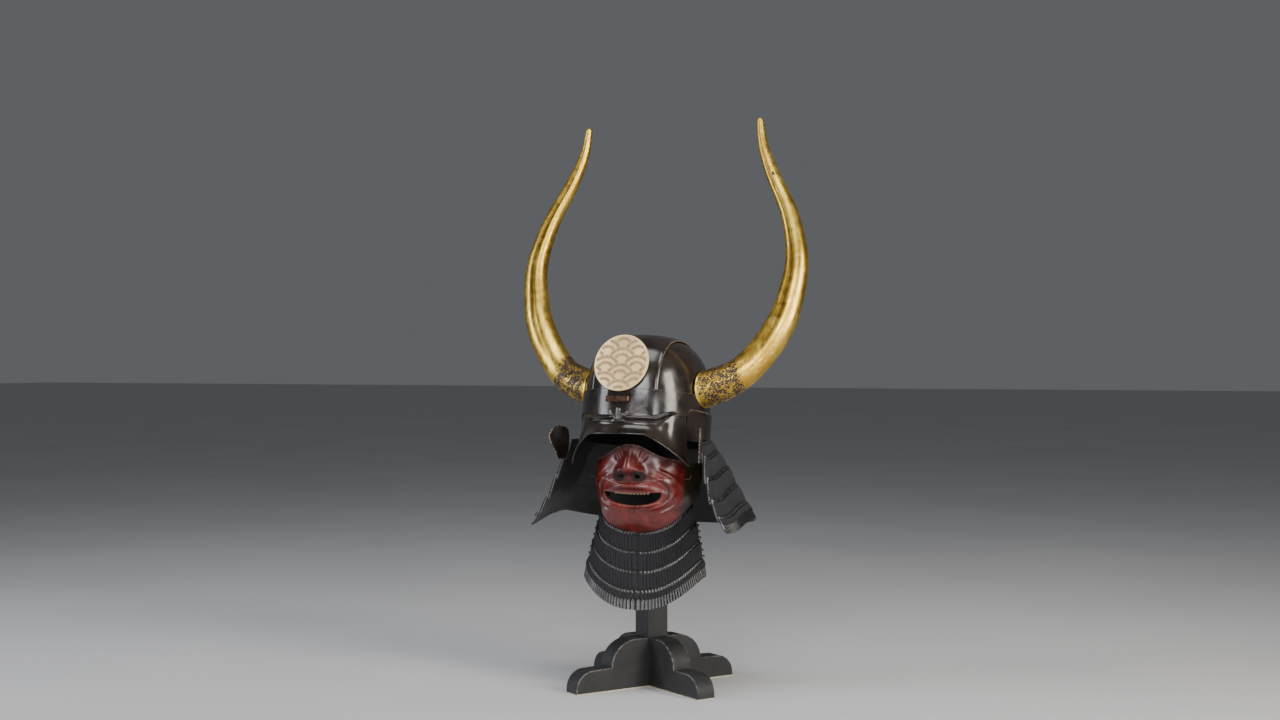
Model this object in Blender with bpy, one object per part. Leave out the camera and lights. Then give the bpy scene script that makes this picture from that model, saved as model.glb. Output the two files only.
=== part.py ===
"""Samurai helmet with horns and a crest, its face mask and throat guard, on a cross-footed stand.

Metres, +Z up. The face looks along -Y and the wearer's left is at +X. The origin is the middle of the
stand's underside. The helmet is drawn level about the middle of its rim and then leans back as a whole.
"""

import math

import bmesh
import bpy
from mathutils import Matrix, Vector

# Clearances
GAP = 0.0003
FACET_GAP = 0.0008

# Where the helmet sits: the middle of the bowl's rim, and its lean to the back
HELMET_Y = -0.019
HELMET_Z = 0.487
HELMET_LEAN = math.radians(8.0)

# Bowl
BOWL_HALF_WIDTH = 0.111
BOWL_HALF_DEPTH = 0.120
BOWL_HEIGHT = 0.132
BOWL_ROUNDNESS = 2.8
BOWL_WALL = 0.0020
BOWL_SKIRT = 0.008
BOWL_SEGMENTS = 36
BOWL_ROWS = 9

# Plate that runs over the bowl from front to back
TOP_PLATE_HALF_WIDTH = 0.062
TOP_PLATE_WALL = 0.0016
TOP_PLATE_GAP = 0.0011
TOP_PLATE_FOOT = 0.004

# Brow plate, with the eyebrows hammered out of it, and the plate round the sides and back
TEMPLE_TURN = math.radians(62.6)
BROW_WALL = 0.0020
BROW_TOP = 0.027
BROW_END = math.radians(78.0)
BROW_DROP = 0.031
BROW_TEMPLE_DROP = 0.014
BROW_STEP_START = math.radians(38.0)
BROW_STEP_SPREAD = math.radians(12.0)
BROW_END_SPREAD = math.radians(4.5)
BROW_EDGE = 0.0006
BROW_RELIEF = 0.0045
BROW_BAR_HALF = 0.0042
BROW_BAR_INNER = 0.010
BROW_BAR_OUTER = 0.085
BROW_BAR_LOW = 0.0245
BROW_BAR_TIP_RISE = 0.013
BAND_DROP = 0.055
BAND_START = TEMPLE_TURN + math.radians(0.4)

# Visor
VISOR_WALL = 0.0018
VISOR_TUCK = 0.006
VISOR_NECK = 0.0015
VISOR_LEVEL_TURN = math.radians(24.0)
VISOR_DROP = 0.0515
VISOR_TEMPLE_DROP = 0.048
VISOR_FLARE = 0.015

# Horns: from the root, the horn's run outwards, backwards and upwards, and its width at the root
HORN_ROOT_X = 0.098
HORN_ROOT_Y = -0.010
HORN_ROOT_Z = 0.036
HORN_OUT = 0.158
HORN_BACK = 0.055
HORN_UP = 0.499
HORN_WIDTH = 0.068
HORN_SIDES = 12
HORN_RINGS = 16
HORN_TIP_ROUND = 0.7

# Crest: a round disc carried by two prongs that stand on a bar on the brow plate
CREST_RADIUS = 0.0505
CREST_WALL = 0.0045
CREST_RIM = 0.0025
CREST_RELIEF = 0.0008
CREST_LEAN = math.radians(10.0)
CREST_CENTRE_Z = 0.0715
CREST_BAR_WIDTH = 0.043
CREST_BAR_HEIGHT = 0.010
CREST_BAR_DEPTH = 0.009
CREST_BAR_Z = 0.003
CREST_BAR_BEVEL = 0.0012
PRONG_WALL = 0.0030
PRONG_WIDTH = 0.006
PRONG_TOP = 0.058
PRONG_FOOT = 0.006

# Neck guard: five laced rows that flare and droop at the front corners
LAME_COUNT = 5
LAME_WALL = 0.0030
LAME_TUCK = 0.009
LAME_COLUMNS = 20
NECK_TOP = 0.046
NECK_BOTTOM = 0.175
NECK_HALF_WIDTH = 0.189
NECK_BACK = 0.208
NECK_TOP_FRONT = -0.048
NECK_FRONT = -0.062
NECK_CENTRE = 0.034
NECK_FRONT_REACH = 0.191
NECK_FRONT_DROOP = 0.036
NECK_CORNER_FLARE = 0.016
NECK_BACK_DROOP = 0.009
NECK_CORNER_TURN = math.radians(77.0)
NECK_ROUNDNESS = 2.3
LACE_WALL = 0.0020
LACE_SKIP = 0.005
LACE_STOP = 0.0015
LAST_LACE_SHARE = 0.45

# Turned-back ear flaps
FLAP_LENGTH = 0.053
FLAP_HEIGHT = 0.060
FLAP_WALL = 0.0025
FLAP_CUP = 0.006
FLAP_LEVEL = 0.06
FLAP_RISE = 0.002
FLAP_TURN = math.radians(12.0)

# Face mask, in the stand's own upright frame
MASK_HALF_WIDTH = 0.095
MASK_CENTRE_Y = -0.005
MASK_CHIN_Z = 0.277
MASK_HEIGHT = 0.156
MASK_DEPTH = 0.093
MASK_WALL = 0.0022
MASK_SWEEP = math.radians(98.0)
MASK_COLUMNS = 22
MASK_ROWS = 16
NOSE_REACH = 0.017
NOSE_TIP_RISE = 0.013
NOSE_HALF_WIDTH = 0.010
NOSE_WING_REACH = 0.007
LIP_REACH = 0.0035
FOLD_REACH = 0.0035
MOUTH_HALF_WIDTH = 0.054
MOUTH_TOP_Z = MASK_CHIN_Z + 0.073
MOUTH_HEIGHT = 0.024
MOUTH_SAG = 0.10
NOSTRIL_WIDTH = 0.013
NOSTRIL_HEIGHT = 0.008
NOSTRIL_X = 0.0155
NOSTRIL_Z = MASK_CHIN_Z + 0.1025
TEETH_HEIGHT = 0.0045
TEETH_SPAN = 0.62
TEETH_WALL = 0.0020
HOOK_WIRE = 0.0016
HOOK_REACH = 0.012
HOOK_Z = MASK_CHIN_Z + 0.095
HOOK_TURN = math.radians(62.0)

# Throat guard: four laced rows below the mask
THROAT_COUNT = 4
THROAT_CLEAR = 0.0008
THROAT_CENTRE_Y = -0.022
THROAT_HALF_WIDTH = 0.110
THROAT_DEPTH = 0.088
THROAT_FOOT_Z = 0.148
THROAT_FOOT_RISE = 0.052
THROAT_FOOT_CURVE = 2.3
THROAT_TWIST = math.radians(12.0)
THROAT_SWEEP = math.radians(86.0)
THROAT_COLUMNS = 16
THROAT_WALL = 0.0025
THROAT_ROUNDNESS = 2.4

# Stand: two boards crossed at right angles, a square post, a pad for the bowl and an arm for the mask
BOARD_WIDTH = 0.036
FOOT_REACH = 0.167
FOOT_HEIGHT = 0.040
STEP_HEIGHT = 0.087
STEP_FLAT = 0.045
FOOT_ROUND = 0.033
STEP_ROUND = 0.046
STEP_RUN = 0.050
CUT_OVER = 0.010
BOARD_TURN = math.radians(-32.5)
POST_WIDTH = 0.041
PAD_DEPTH = 0.034
ARM_WIDTH = 0.018
ARM_Z = MASK_CHIN_Z + 0.024

# Shares of the named sizes above, chosen by eye from the horn's outline
HORN_STATIONS = (
    # out, back, up, width
    (0.00, 0.00, 0.000, 1.00),
    (0.26, 0.14, 0.029, 0.94),
    (0.47, 0.29, 0.069, 0.85),
    (0.66, 0.46, 0.136, 0.82),
    (0.83, 0.56, 0.222, 0.80),
    (0.94, 0.65, 0.318, 0.73),
    (1.00, 0.76, 0.475, 0.61),
    (0.88, 0.89, 0.640, 0.48),
    (0.63, 0.99, 0.805, 0.37),
    (0.505, 1.00, 0.910, 0.27),
    (0.46, 0.96, 1.000, 0.19),
)

# Each row of the neck guard starts at these shares of its way down and out
NECK_STATIONS = (
    # down, out, back
    (0.00, 0.00, 0.00),
    (0.13, 0.15, 0.14),
    (0.33, 0.38, 0.37),
    (0.56, 0.58, 0.60),
    (0.78, 0.79, 0.81),
    (1.00, 1.00, 1.00),
)

# The mask's bare form, from its chin up to the bridge of its nose
MASK_STATIONS = (
    # up, half width, depth, squareness
    (0.00, 0.76, 0.62, 3.0),
    (0.10, 0.82, 0.72, 2.9),
    (0.22, 0.88, 0.80, 2.7),
    (0.34, 0.92, 0.84, 2.4),
    (0.46, 0.95, 0.94, 2.2),
    (0.56, 0.97, 1.00, 2.2),
    (0.66, 0.99, 0.98, 2.2),
    (0.80, 1.00, 0.95, 2.1),
    (1.00, 1.00, 0.95, 2.1),
)

# The mask's rounded swellings, as shares of its half width, its height and the nose's reach
MASK_SWELLINGS = (
    # across, width, up, height, reach
    (0.53, 0.19, 0.74, 0.10, 0.29),
    (0.00, 0.32, 0.54, 0.06, 0.24),
    (0.00, 0.29, 0.14, 0.10, 0.29),
)


# Small helpers

def clear_scene():
    """Removes whatever the start-up scene holds."""
    for old in list(bpy.data.objects):
        bpy.data.objects.remove(old, do_unlink=True)


def smooth(value):
    """Eases from 0 to 1 with level ends."""
    value = min(max(value, 0.0), 1.0)
    return value * value * (3.0 - 2.0 * value)


def hump(value):
    """A round bump that is 1 at zero and fades out by about two."""
    return math.exp(-value * value)


def power(value, exponent):
    """A signed power, for squared-off round outlines."""
    return math.copysign(abs(value) ** exponent, value)


def along(stations, place, column):
    """Reads one column of a table of stations, eased between its rows."""
    for low, high in zip(stations, stations[1:]):
        if place <= high[0]:
            share = (place - low[0]) / (high[0] - low[0])
            return low[column] + (high[column] - low[column]) * share
    return stations[-1][column]


def paint(name, colour, roughness, metallic):
    """One plain material for one piece."""
    material = bpy.data.materials.new(name)
    material.use_nodes = True
    shader = material.node_tree.nodes["Principled BSDF"]
    shader.inputs["Base Color"].default_value = (*colour, 1.0)
    shader.inputs["Roughness"].default_value = roughness
    shader.inputs["Metallic"].default_value = metallic
    return material


BLACK_LACQUER = ((0.012, 0.011, 0.012), 0.30, 0.0)
BROWN_LACQUER = ((0.030, 0.022, 0.015), 0.28, 0.0)
RED_LACQUER = ((0.330, 0.030, 0.022), 0.32, 0.0)
DARK_LACE = ((0.014, 0.015, 0.022), 0.85, 0.0)
GILT = ((0.780, 0.520, 0.160), 0.34, 0.9)
CREAM_GOLD = ((0.810, 0.590, 0.320), 0.50, 0.3)
COPPER = ((0.260, 0.130, 0.070), 0.45, 0.8)
TOOTH = ((0.700, 0.600, 0.400), 0.45, 0.4)
STAND_BLACK = ((0.022, 0.021, 0.021), 0.60, 0.0)


def frame_empty(name, location, rotation):
    """An empty that carries a group of pieces."""
    empty = bpy.data.objects.new(name, None)
    empty.location = location
    empty.rotation_euler = rotation
    bpy.context.scene.collection.objects.link(empty)
    return empty


def face_outwards(bm):
    """Turns every face outwards."""
    bmesh.ops.recalc_face_normals(bm, faces=bm.faces)
    if bm.calc_volume(signed=True) < 0.0:
        bmesh.ops.reverse_faces(bm, faces=bm.faces)


def finish_piece(name, bm, finish, parent):
    """Turns a bmesh into a named object with its material."""
    face_outwards(bm)
    mesh = bpy.data.meshes.new(name)
    bm.to_mesh(mesh)
    bm.free()
    mesh.shade_smooth()
    mesh.set_sharp_from_angle(angle=math.radians(35.0))
    mesh.materials.append(paint(name, *finish))
    piece = bpy.data.objects.new(name, mesh)
    piece.parent = parent
    bpy.context.scene.collection.objects.link(piece)
    return piece


def cutter(bm, parent):
    """A hidden shape that a Boolean takes away."""
    face_outwards(bm)
    mesh = bpy.data.meshes.new("cutter")
    bm.to_mesh(mesh)
    bm.free()
    helper = bpy.data.objects.new("cutter", mesh)
    helper.parent = parent
    helper.hide_render = True
    helper.display_type = "WIRE"
    bpy.context.scene.collection.objects.link(helper)
    return helper


def cut(piece, helper):
    """Takes the helper's shape out of the piece."""
    modifier = piece.modifiers.new("cut", "BOOLEAN")
    modifier.operation = "DIFFERENCE"
    modifier.solver = "EXACT"
    modifier.object = helper


def sheet(bm, surface, columns, rows):
    """A grid of vertices on a surface of two shares, each from 0 to 1."""
    return [
        [bm.verts.new(surface(column / columns, row / rows)) for column in range(columns + 1)]
        for row in range(rows + 1)
    ]


def join_edges(bm, first, second):
    """A strip of faces between two equal runs of vertices."""
    for index in range(len(first) - 1):
        bm.faces.new((first[index], first[index + 1], second[index + 1], second[index]))


def skin(bm, grid, outwards):
    """Covers a grid of vertices, each cell split along the same diagonal whichever way it faces."""
    for low, high in zip(grid, grid[1:]):
        for index in range(len(low) - 1):
            first, second, third, fourth = low[index], low[index + 1], high[index + 1], high[index]
            halves = ((first, second, third), (first, third, fourth))
            for half in halves:
                bm.faces.new(half if outwards else half[::-1])


def shell(name, outer, inner, columns, rows, finish, parent):
    """A closed wall between an outer and an inner surface, with its four edges."""
    bm = bmesh.new()
    front = sheet(bm, outer, columns, rows)
    back = sheet(bm, inner, columns, rows)
    skin(bm, front, True)
    skin(bm, back, False)
    join_edges(bm, front[0], back[0])
    join_edges(bm, back[-1], front[-1])
    for side in (0, -1):
        join_edges(bm, [line[side] for line in front], [line[side] for line in back])
    return finish_piece(name, bm, finish, parent)


def extrude_outline(bm, outline, place, depth):
    """Closes an outline of flat points into a solid of the given depth, then places it."""
    face = bm.faces.new([bm.verts.new((x, 0.0, z)) for x, z in outline])
    grown = bmesh.ops.extrude_face_region(bm, geom=[face])
    moved = [item for item in grown["geom"] if isinstance(item, bmesh.types.BMVert)]
    bmesh.ops.translate(bm, verts=moved, vec=(0.0, depth, 0.0))
    bmesh.ops.transform(bm, matrix=place, verts=bm.verts)


def box_solid(bm, low, high):
    """A plain block between two corners."""
    middle = (Vector(low) + Vector(high)) / 2.0
    size = Vector(high) - Vector(low)
    made = bmesh.ops.create_cube(bm, size=1.0)["verts"]
    bmesh.ops.scale(bm, verts=made, vec=size)
    bmesh.ops.translate(bm, verts=made, vec=middle)
    return made


# Bowl

def dome_share(height, grown):
    """How much of its rim's width the bowl still has at this height."""
    share = min(max(height / (BOWL_HEIGHT + grown), 0.0), 1.0)
    return (1.0 - share**BOWL_ROUNDNESS) ** (1.0 / BOWL_ROUNDNESS)


def dome_point(turn, height, grown):
    """A point of the bowl's surface, turned from the front, with the surface grown outwards."""
    share = dome_share(height, grown)
    return Vector((
        (BOWL_HALF_WIDTH + grown) * share * math.sin(turn),
        -(BOWL_HALF_DEPTH + grown) * share * math.cos(turn),
        height,
    ))


def dome_rings(bm, grown, floor, segments, rows):
    """Rings of the bowl's surface from its rim up to its crown."""
    rings = []
    for row in range(rows):
        rise = math.sin(row / rows * math.pi / 2.0)
        height = floor + (BOWL_HEIGHT + grown - floor) * rise
        rings.append([
            bm.verts.new(dome_point(column / segments * math.tau, height, grown))
            for column in range(segments)
        ])
    crown = bm.verts.new((0.0, 0.0, BOWL_HEIGHT + grown))
    for low, high in zip(rings, rings[1:]):
        join_edges(bm, low + low[:1], high + high[:1])
    for index, corner in enumerate(rings[-1]):
        bm.faces.new((corner, rings[-1][(index + 1) % segments], crown))
    return rings[0]


def build_bowl(helmet):
    """The bowl, open below."""
    bm = bmesh.new()
    outer = dome_rings(bm, 0.0, -BOWL_SKIRT, BOWL_SEGMENTS, BOWL_ROWS)
    inner = dome_rings(bm, -BOWL_WALL, -BOWL_SKIRT, BOWL_SEGMENTS, BOWL_ROWS)
    join_edges(bm, outer + outer[:1], inner + inner[:1])
    finish_piece("bowl_shell", bm, BROWN_LACQUER, helmet)


def over_the_top(across, turn, grown):
    """A point of the grown bowl surface at a set distance from the middle line."""
    width = BOWL_HALF_WIDTH + grown
    side = abs(across) / width
    low, high = 0.0, 1.2
    for _ in range(40):
        reach = (low + high) / 2.0
        level = math.hypot(side, reach * math.cos(turn)) ** BOWL_ROUNDNESS
        level += (reach * math.sin(turn)) ** BOWL_ROUNDNESS
        low, high = (reach, high) if level < 1.0 else (low, reach)
    return Vector((
        across,
        -(BOWL_HALF_DEPTH + grown) * low * math.cos(turn),
        (BOWL_HEIGHT + grown) * low * math.sin(turn),
    ))


def turn_at_height(across, height, grown):
    """How far over the bowl a line beside the middle reaches a set height on the front."""
    share = dome_share(height, grown)
    front = math.sqrt(share**2 - (across / (BOWL_HALF_WIDTH + grown)) ** 2)
    return math.atan2(height / (BOWL_HEIGHT + grown), front)


def build_top_plate(helmet):
    """The plate over the bowl, from the brow plate's upper edge to low on the back."""

    def surface(grown):
        def point(column, row):
            across = (2.0 * column - 1.0) * TOP_PLATE_HALF_WIDTH
            start = turn_at_height(across, BROW_TOP + GAP * 2.0, grown)
            end = math.pi - turn_at_height(across, TOP_PLATE_FOOT, grown)
            return over_the_top(across, start + (end - start) * row, grown)
        return point

    outer = surface(TOP_PLATE_GAP + TOP_PLATE_WALL)
    shell("top_plate", outer, surface(TOP_PLATE_GAP), 8, 18, BROWN_LACQUER, helmet)


# Brow plate, side plate and visor

def ring_point(turn, height, grown):
    """A point beside the bowl's rim, grown outwards by a set amount."""
    return Vector((
        (BOWL_HALF_WIDTH + grown) * math.sin(turn),
        -(BOWL_HALF_DEPTH + grown) * math.cos(turn),
        height,
    ))


def brow_lower(turn):
    """Height of the brow plate's lower edge: deep over the eyes, then up to the bowl's rim."""
    turn = abs(turn)
    rise = (BROW_DROP - BROW_TEMPLE_DROP) * smooth((turn - BROW_STEP_START) / BROW_STEP_SPREAD)
    return -BROW_DROP + rise + BROW_TEMPLE_DROP * smooth((turn - TEMPLE_TURN) / BROW_END_SPREAD + 0.25)


def brow_bar(turn):
    """Middle height and raised share of an eyebrow at this turn from the front."""
    across = abs(math.sin(turn)) * BOWL_HALF_WIDTH
    share = (across - BROW_BAR_INNER) / (BROW_BAR_OUTER - BROW_BAR_INNER)
    middle = -BROW_BAR_LOW + BROW_BAR_TIP_RISE * smooth((share - 0.62) / 0.42)
    raised = smooth((share + 0.08) / 0.14) * smooth((1.04 - share) / 0.16)
    return middle, raised


def build_brow_plate(helmet):
    """The plate over the brow, its eyebrows raised."""
    inner_grown = FACET_GAP

    def surface(extra):
        def point(column, row):
            turn = (2.0 * column - 1.0) * BROW_END
            middle, raised = brow_bar(turn)
            low = brow_lower(turn)
            half = BROW_BAR_HALF * (0.55 + 0.45 * raised)
            heights = (
                low,
                max(middle - half * 1.36, low + BROW_EDGE),
                max(middle - half, low + BROW_EDGE * 2.0),
                max(middle + half, low + BROW_EDGE * 3.4),
                max(middle + half * 1.43, low + BROW_EDGE * 5.0),
                max(0.0, low + BROW_EDGE * 7.5),
                BROW_TOP * 0.55,
                BROW_TOP,
            )
            index = round(row * 7)
            relief = BROW_RELIEF * raised if index in (2, 3) else 0.0
            height = heights[index]
            share = dome_share(height, inner_grown)
            pulled = (BOWL_HALF_WIDTH + inner_grown) * (share - 1.0)
            return ring_point(turn, height, inner_grown + extra + relief + pulled)
        return point

    shell("brow_plate", surface(BROW_WALL), surface(0.0), 36, 7, BROWN_LACQUER, helmet)


def build_side_band(helmet):
    """The plate round the sides and back, below the bowl's rim."""
    inner_grown = FACET_GAP

    def surface(extra):
        def point(column, row):
            turn = BAND_START + (math.tau - 2.0 * BAND_START) * column
            top = brow_lower(min(turn, math.tau - turn)) - GAP
            return ring_point(turn, top + (-BAND_DROP - top) * row, inner_grown + extra)
        return point

    shell("side_band", surface(BROW_WALL), surface(0.0), 26, 1, BROWN_LACQUER, helmet)


def visor_rim(turn):
    """Height of the visor's rim: level over the face, then down to the temples."""
    share = (abs(turn) - VISOR_LEVEL_TURN) / (TEMPLE_TURN - VISOR_LEVEL_TURN)
    return -VISOR_DROP - VISOR_TEMPLE_DROP * max(share, 0.0) ** 1.15


def build_visor(helmet):
    """The visor, tucked behind the brow plate and flared to its rim."""

    def surface(extra):
        def point(column, row):
            turn = (2.0 * column - 1.0) * TEMPLE_TURN
            top = min(brow_lower(turn) + VISOR_TUCK, -BOWL_SKIRT - FACET_GAP)
            neck = brow_lower(turn) - VISOR_NECK
            rim = visor_rim(turn)
            steps = ((top, 0.0), (neck, 0.0), (neck * 0.62 + rim * 0.38, 0.22),
                     (neck * 0.28 + rim * 0.72, 0.62), (rim, 1.0))
            height, flare = steps[round(row * 4)]
            return ring_point(turn, height, VISOR_FLARE * flare - extra)
        return point

    shell("visor", surface(0.0), surface(VISOR_WALL), 28, 4, BROWN_LACQUER, helmet)


# Horns

def horn_axis(share):
    """Middle and width of the horn at a share of its stations, on a smooth curve through them."""
    last = len(HORN_STATIONS) - 1
    place = share * last
    index = min(int(place), last - 1)
    local = place - index
    picked = [HORN_STATIONS[min(max(index + step, 0), last)] for step in (-1, 0, 1, 2)]
    values = []
    for column in range(4):
        before, start, end, after = (row[column] for row in picked)
        values.append(0.5 * (
            2.0 * start
            + (end - before) * local
            + (2.0 * before - 5.0 * start + 4.0 * end - after) * local**2
            + (3.0 * start - before - 3.0 * end + after) * local**3
        ))
    out, back, up, width = values
    root = Vector((HORN_ROOT_X, HORN_ROOT_Y, HORN_ROOT_Z))
    return root + Vector((HORN_OUT * out, HORN_BACK * back, HORN_UP * up)), HORN_WIDTH * width / 2.0


def build_horn(side, name, helmet):
    """One curved horn, its root cut to the bowl's side."""
    bm = bmesh.new()
    rings = []
    for number in range(HORN_RINGS + 1):
        share = number / HORN_RINGS
        middle, radius = horn_axis(share)
        ahead, _ = horn_axis(min(share + 0.01, 1.0))
        behind, _ = horn_axis(max(share - 0.01, 0.0))
        heading = (ahead - behind).normalized()
        across = heading.cross(Vector((0.0, 1.0, 0.0))).normalized()
        lift = across.cross(heading)
        ring = []
        for corner in range(HORN_SIDES):
            turn = math.tau * corner / HORN_SIDES
            spot = middle + (across * math.cos(turn) + lift * math.sin(turn)) * radius
            ring.append(bm.verts.new((spot.x * side, spot.y, spot.z)))
        rings.append(ring)
    for low, high in zip(rings, rings[1:]):
        join_edges(bm, low + low[:1], high + high[:1])
    tip, radius = horn_axis(1.0)
    point = bm.verts.new((tip.x * side, tip.y, tip.z + radius * HORN_TIP_ROUND))
    for index, corner in enumerate(rings[-1]):
        bm.faces.new((corner, rings[-1][(index + 1) % HORN_SIDES], point))
    bm.faces.new(rings[0])
    horn = finish_piece(name, bm, GILT, helmet)
    bm = bmesh.new()
    seat = FACET_GAP + BROW_WALL + GAP * 2.0
    rim = dome_rings(bm, seat, -BAND_DROP, BOWL_SEGMENTS * 2, BOWL_ROWS * 3)
    bm.faces.new(rim)
    cut(horn, cutter(bm, helmet))


# Crest

def crest_place(height, ahead):
    """A frame on the crest's leaning plane at this height, moved forwards by a set amount."""
    contact = BOWL_HALF_DEPTH + FACET_GAP + BROW_WALL + GAP
    y = -contact - (BROW_TOP - height) * math.tan(CREST_LEAN) - ahead
    return Matrix.Translation((0.0, y, height)) @ Matrix.Rotation(-CREST_LEAN, 4, "X")


def build_crest_disc(helmet):
    """The round crest, with a raised rim and a ring of raised overlapping waves on its face."""
    bm = bmesh.new()
    sides = 36
    circle = [(CREST_RADIUS * math.sin(math.tau * k / sides), CREST_RADIUS * math.cos(math.tau * k / sides))
              for k in range(sides)]
    extrude_outline(bm, circle, Matrix.Identity(4), CREST_WALL)
    front = min(bm.faces, key=lambda face: face.calc_center_median().y)
    bmesh.ops.inset_region(bm, faces=[front], thickness=CREST_RIM)
    bmesh.ops.translate(bm, verts=front.verts, vec=(0.0, CREST_RELIEF, 0.0))
    place = crest_place(CREST_CENTRE_Z, PRONG_WALL + GAP + CREST_WALL)
    bmesh.ops.transform(bm, matrix=place, verts=bm.verts)
    finish_piece("crest_disc", bm, CREAM_GOLD, helmet)


def build_crest_holder(helmet):
    """The bar on the brow plate, and the two prongs that stand on it behind the disc."""
    bm = bmesh.new()
    back = -(BOWL_HALF_DEPTH + FACET_GAP + BROW_WALL + GAP)
    box_solid(
        bm,
        (-CREST_BAR_WIDTH / 2.0, back - CREST_BAR_DEPTH, CREST_BAR_Z),
        (CREST_BAR_WIDTH / 2.0, back, CREST_BAR_Z + CREST_BAR_HEIGHT),
    )
    bmesh.ops.bevel(bm, geom=bm.edges, offset=CREST_BAR_BEVEL, segments=1, affect="EDGES", profile=0.5)
    finish_piece("crest_bar", bm, COPPER, helmet)
    half = CREST_BAR_WIDTH / 2.0 - CREST_BAR_BEVEL * 1.6
    base = CREST_BAR_Z + CREST_BAR_HEIGHT + GAP + PRONG_WALL * math.sin(CREST_LEAN)
    rise = (PRONG_TOP - base) / math.cos(CREST_LEAN)
    outline = (
        (-half, 0.0), (half, 0.0), (half, rise), (half - PRONG_WIDTH, rise), (half - PRONG_WIDTH, PRONG_FOOT),
        (PRONG_WIDTH - half, PRONG_FOOT), (PRONG_WIDTH - half, rise), (-half, rise),
    )
    bm = bmesh.new()
    extrude_outline(bm, outline, crest_place(base, PRONG_WALL), PRONG_WALL)
    finish_piece("crest_prongs", bm, COPPER, helmet)


# Neck guard

def neck_ring(level):
    """Sizes of the neck guard's outer surface at a share of its way down and out."""
    top_grown = FACET_GAP * 2.0 + BROW_WALL + LAME_WALL
    out = along(NECK_STATIONS, level, 1)
    back = along(NECK_STATIONS, level, 2)
    width = BOWL_HALF_WIDTH + top_grown
    depth = BOWL_HALF_DEPTH + top_grown
    centre = NECK_CENTRE * out
    return {
        "width": width + (NECK_HALF_WIDTH - width) * out,
        "back": depth + (NECK_BACK - depth) * back - centre,
        "front": depth + (NECK_FRONT_REACH - depth) * out,
        "centre": centre,
        "round": 2.0 + (NECK_ROUNDNESS - 2.0) * out,
    }


def neck_point(share, level, grown):
    """A point of the neck guard, from the wearer's right front corner round the back to the left."""
    ring = neck_ring(level)
    limit = NECK_TOP_FRONT + (NECK_FRONT - NECK_TOP_FRONT) * smooth((level - 0.20) / 0.20)
    reach = min((ring["centre"] - limit) / (ring["front"] + grown), 0.9)
    swing = math.pi / 2.0 + math.asin(reach ** (ring["round"] / 2.0))
    turn = (2.0 * share - 1.0) * swing
    bend = 2.0 / ring["round"]
    side = power(math.sin(turn), bend)
    back = power(math.cos(turn), bend)
    depth = ring["back"] if back > 0.0 else ring["front"]
    toward = smooth((abs(turn) - NECK_CORNER_TURN) / (swing - NECK_CORNER_TURN))
    droop = NECK_FRONT_DROOP * toward + NECK_BACK_DROOP * smooth(back)
    height = -NECK_TOP - (NECK_BOTTOM - NECK_TOP) * level - droop * min(1.0, 0.25 + 1.6 * level)
    flare = NECK_CORNER_FLARE * toward**2
    return Vector(((ring["width"] + flare + grown) * side, ring["centre"] + (depth + grown) * back, height))


def lame_fall(number):
    """How far down one row of the neck guard reaches, before its tucked foot."""
    return (NECK_STATIONS[number + 1][0] - NECK_STATIONS[number][0]) * (NECK_BOTTOM - NECK_TOP)


def lame_point(number, share, drop, grown):
    """A point of one row: its top lies outside the row above, and its foot tucks behind the row below."""
    tucked = grown - LAME_WALL - FACET_GAP
    if drop > 1.0:
        return lame_point(number + 1, share, (drop - 1.0) * lame_fall(number) / lame_fall(number + 1), tucked)
    upper = neck_point(share, NECK_STATIONS[number][0], grown)
    last = number == LAME_COUNT - 1
    lower = neck_point(share, NECK_STATIONS[number + 1][0], grown if last else tucked)
    return upper.lerp(lower, drop)


def laced_row(name, point, levels, columns, wall, parent):
    """One row of a guard, and the band of lacing that lies on it between its second and third levels."""
    top, start, end, foot = levels

    def row_surface(grown):
        return lambda column, row: point(column, (top, start, end, foot)[round(row * 3)], grown)

    def lace_surface(grown):
        lift = Vector((0.0, 0.0, LACE_STOP))
        return lambda column, row: point(column, (start, end)[round(row)], grown) + lift * row

    lame, lacing = name
    shell(lame, row_surface(0.0), row_surface(-wall), columns, 3, BLACK_LACQUER, parent)
    outer = lace_surface(FACET_GAP / 2.0 + LACE_WALL)
    shell(lacing, outer, lace_surface(FACET_GAP / 2.0), columns, 1, DARK_LACE, parent)


def build_neck_guard(helmet):
    """Five rows, each with the band of lacing that lies on it."""
    for number in range(LAME_COUNT):
        last = number == LAME_COUNT - 1
        fall = lame_fall(number)
        end = LAST_LACE_SHARE if last else 1.0
        foot = 1.0 if last else 1.0 + LAME_TUCK / fall

        def point(column, drop, grown, number=number):
            return lame_point(number, column, drop, grown)

        name = (f"neck_lame_{number + 1}", f"neck_lacing_{number + 1}")
        laced_row(name, point, (0.0, LACE_SKIP / fall, end, foot), LAME_COLUMNS, LAME_WALL, helmet)


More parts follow.
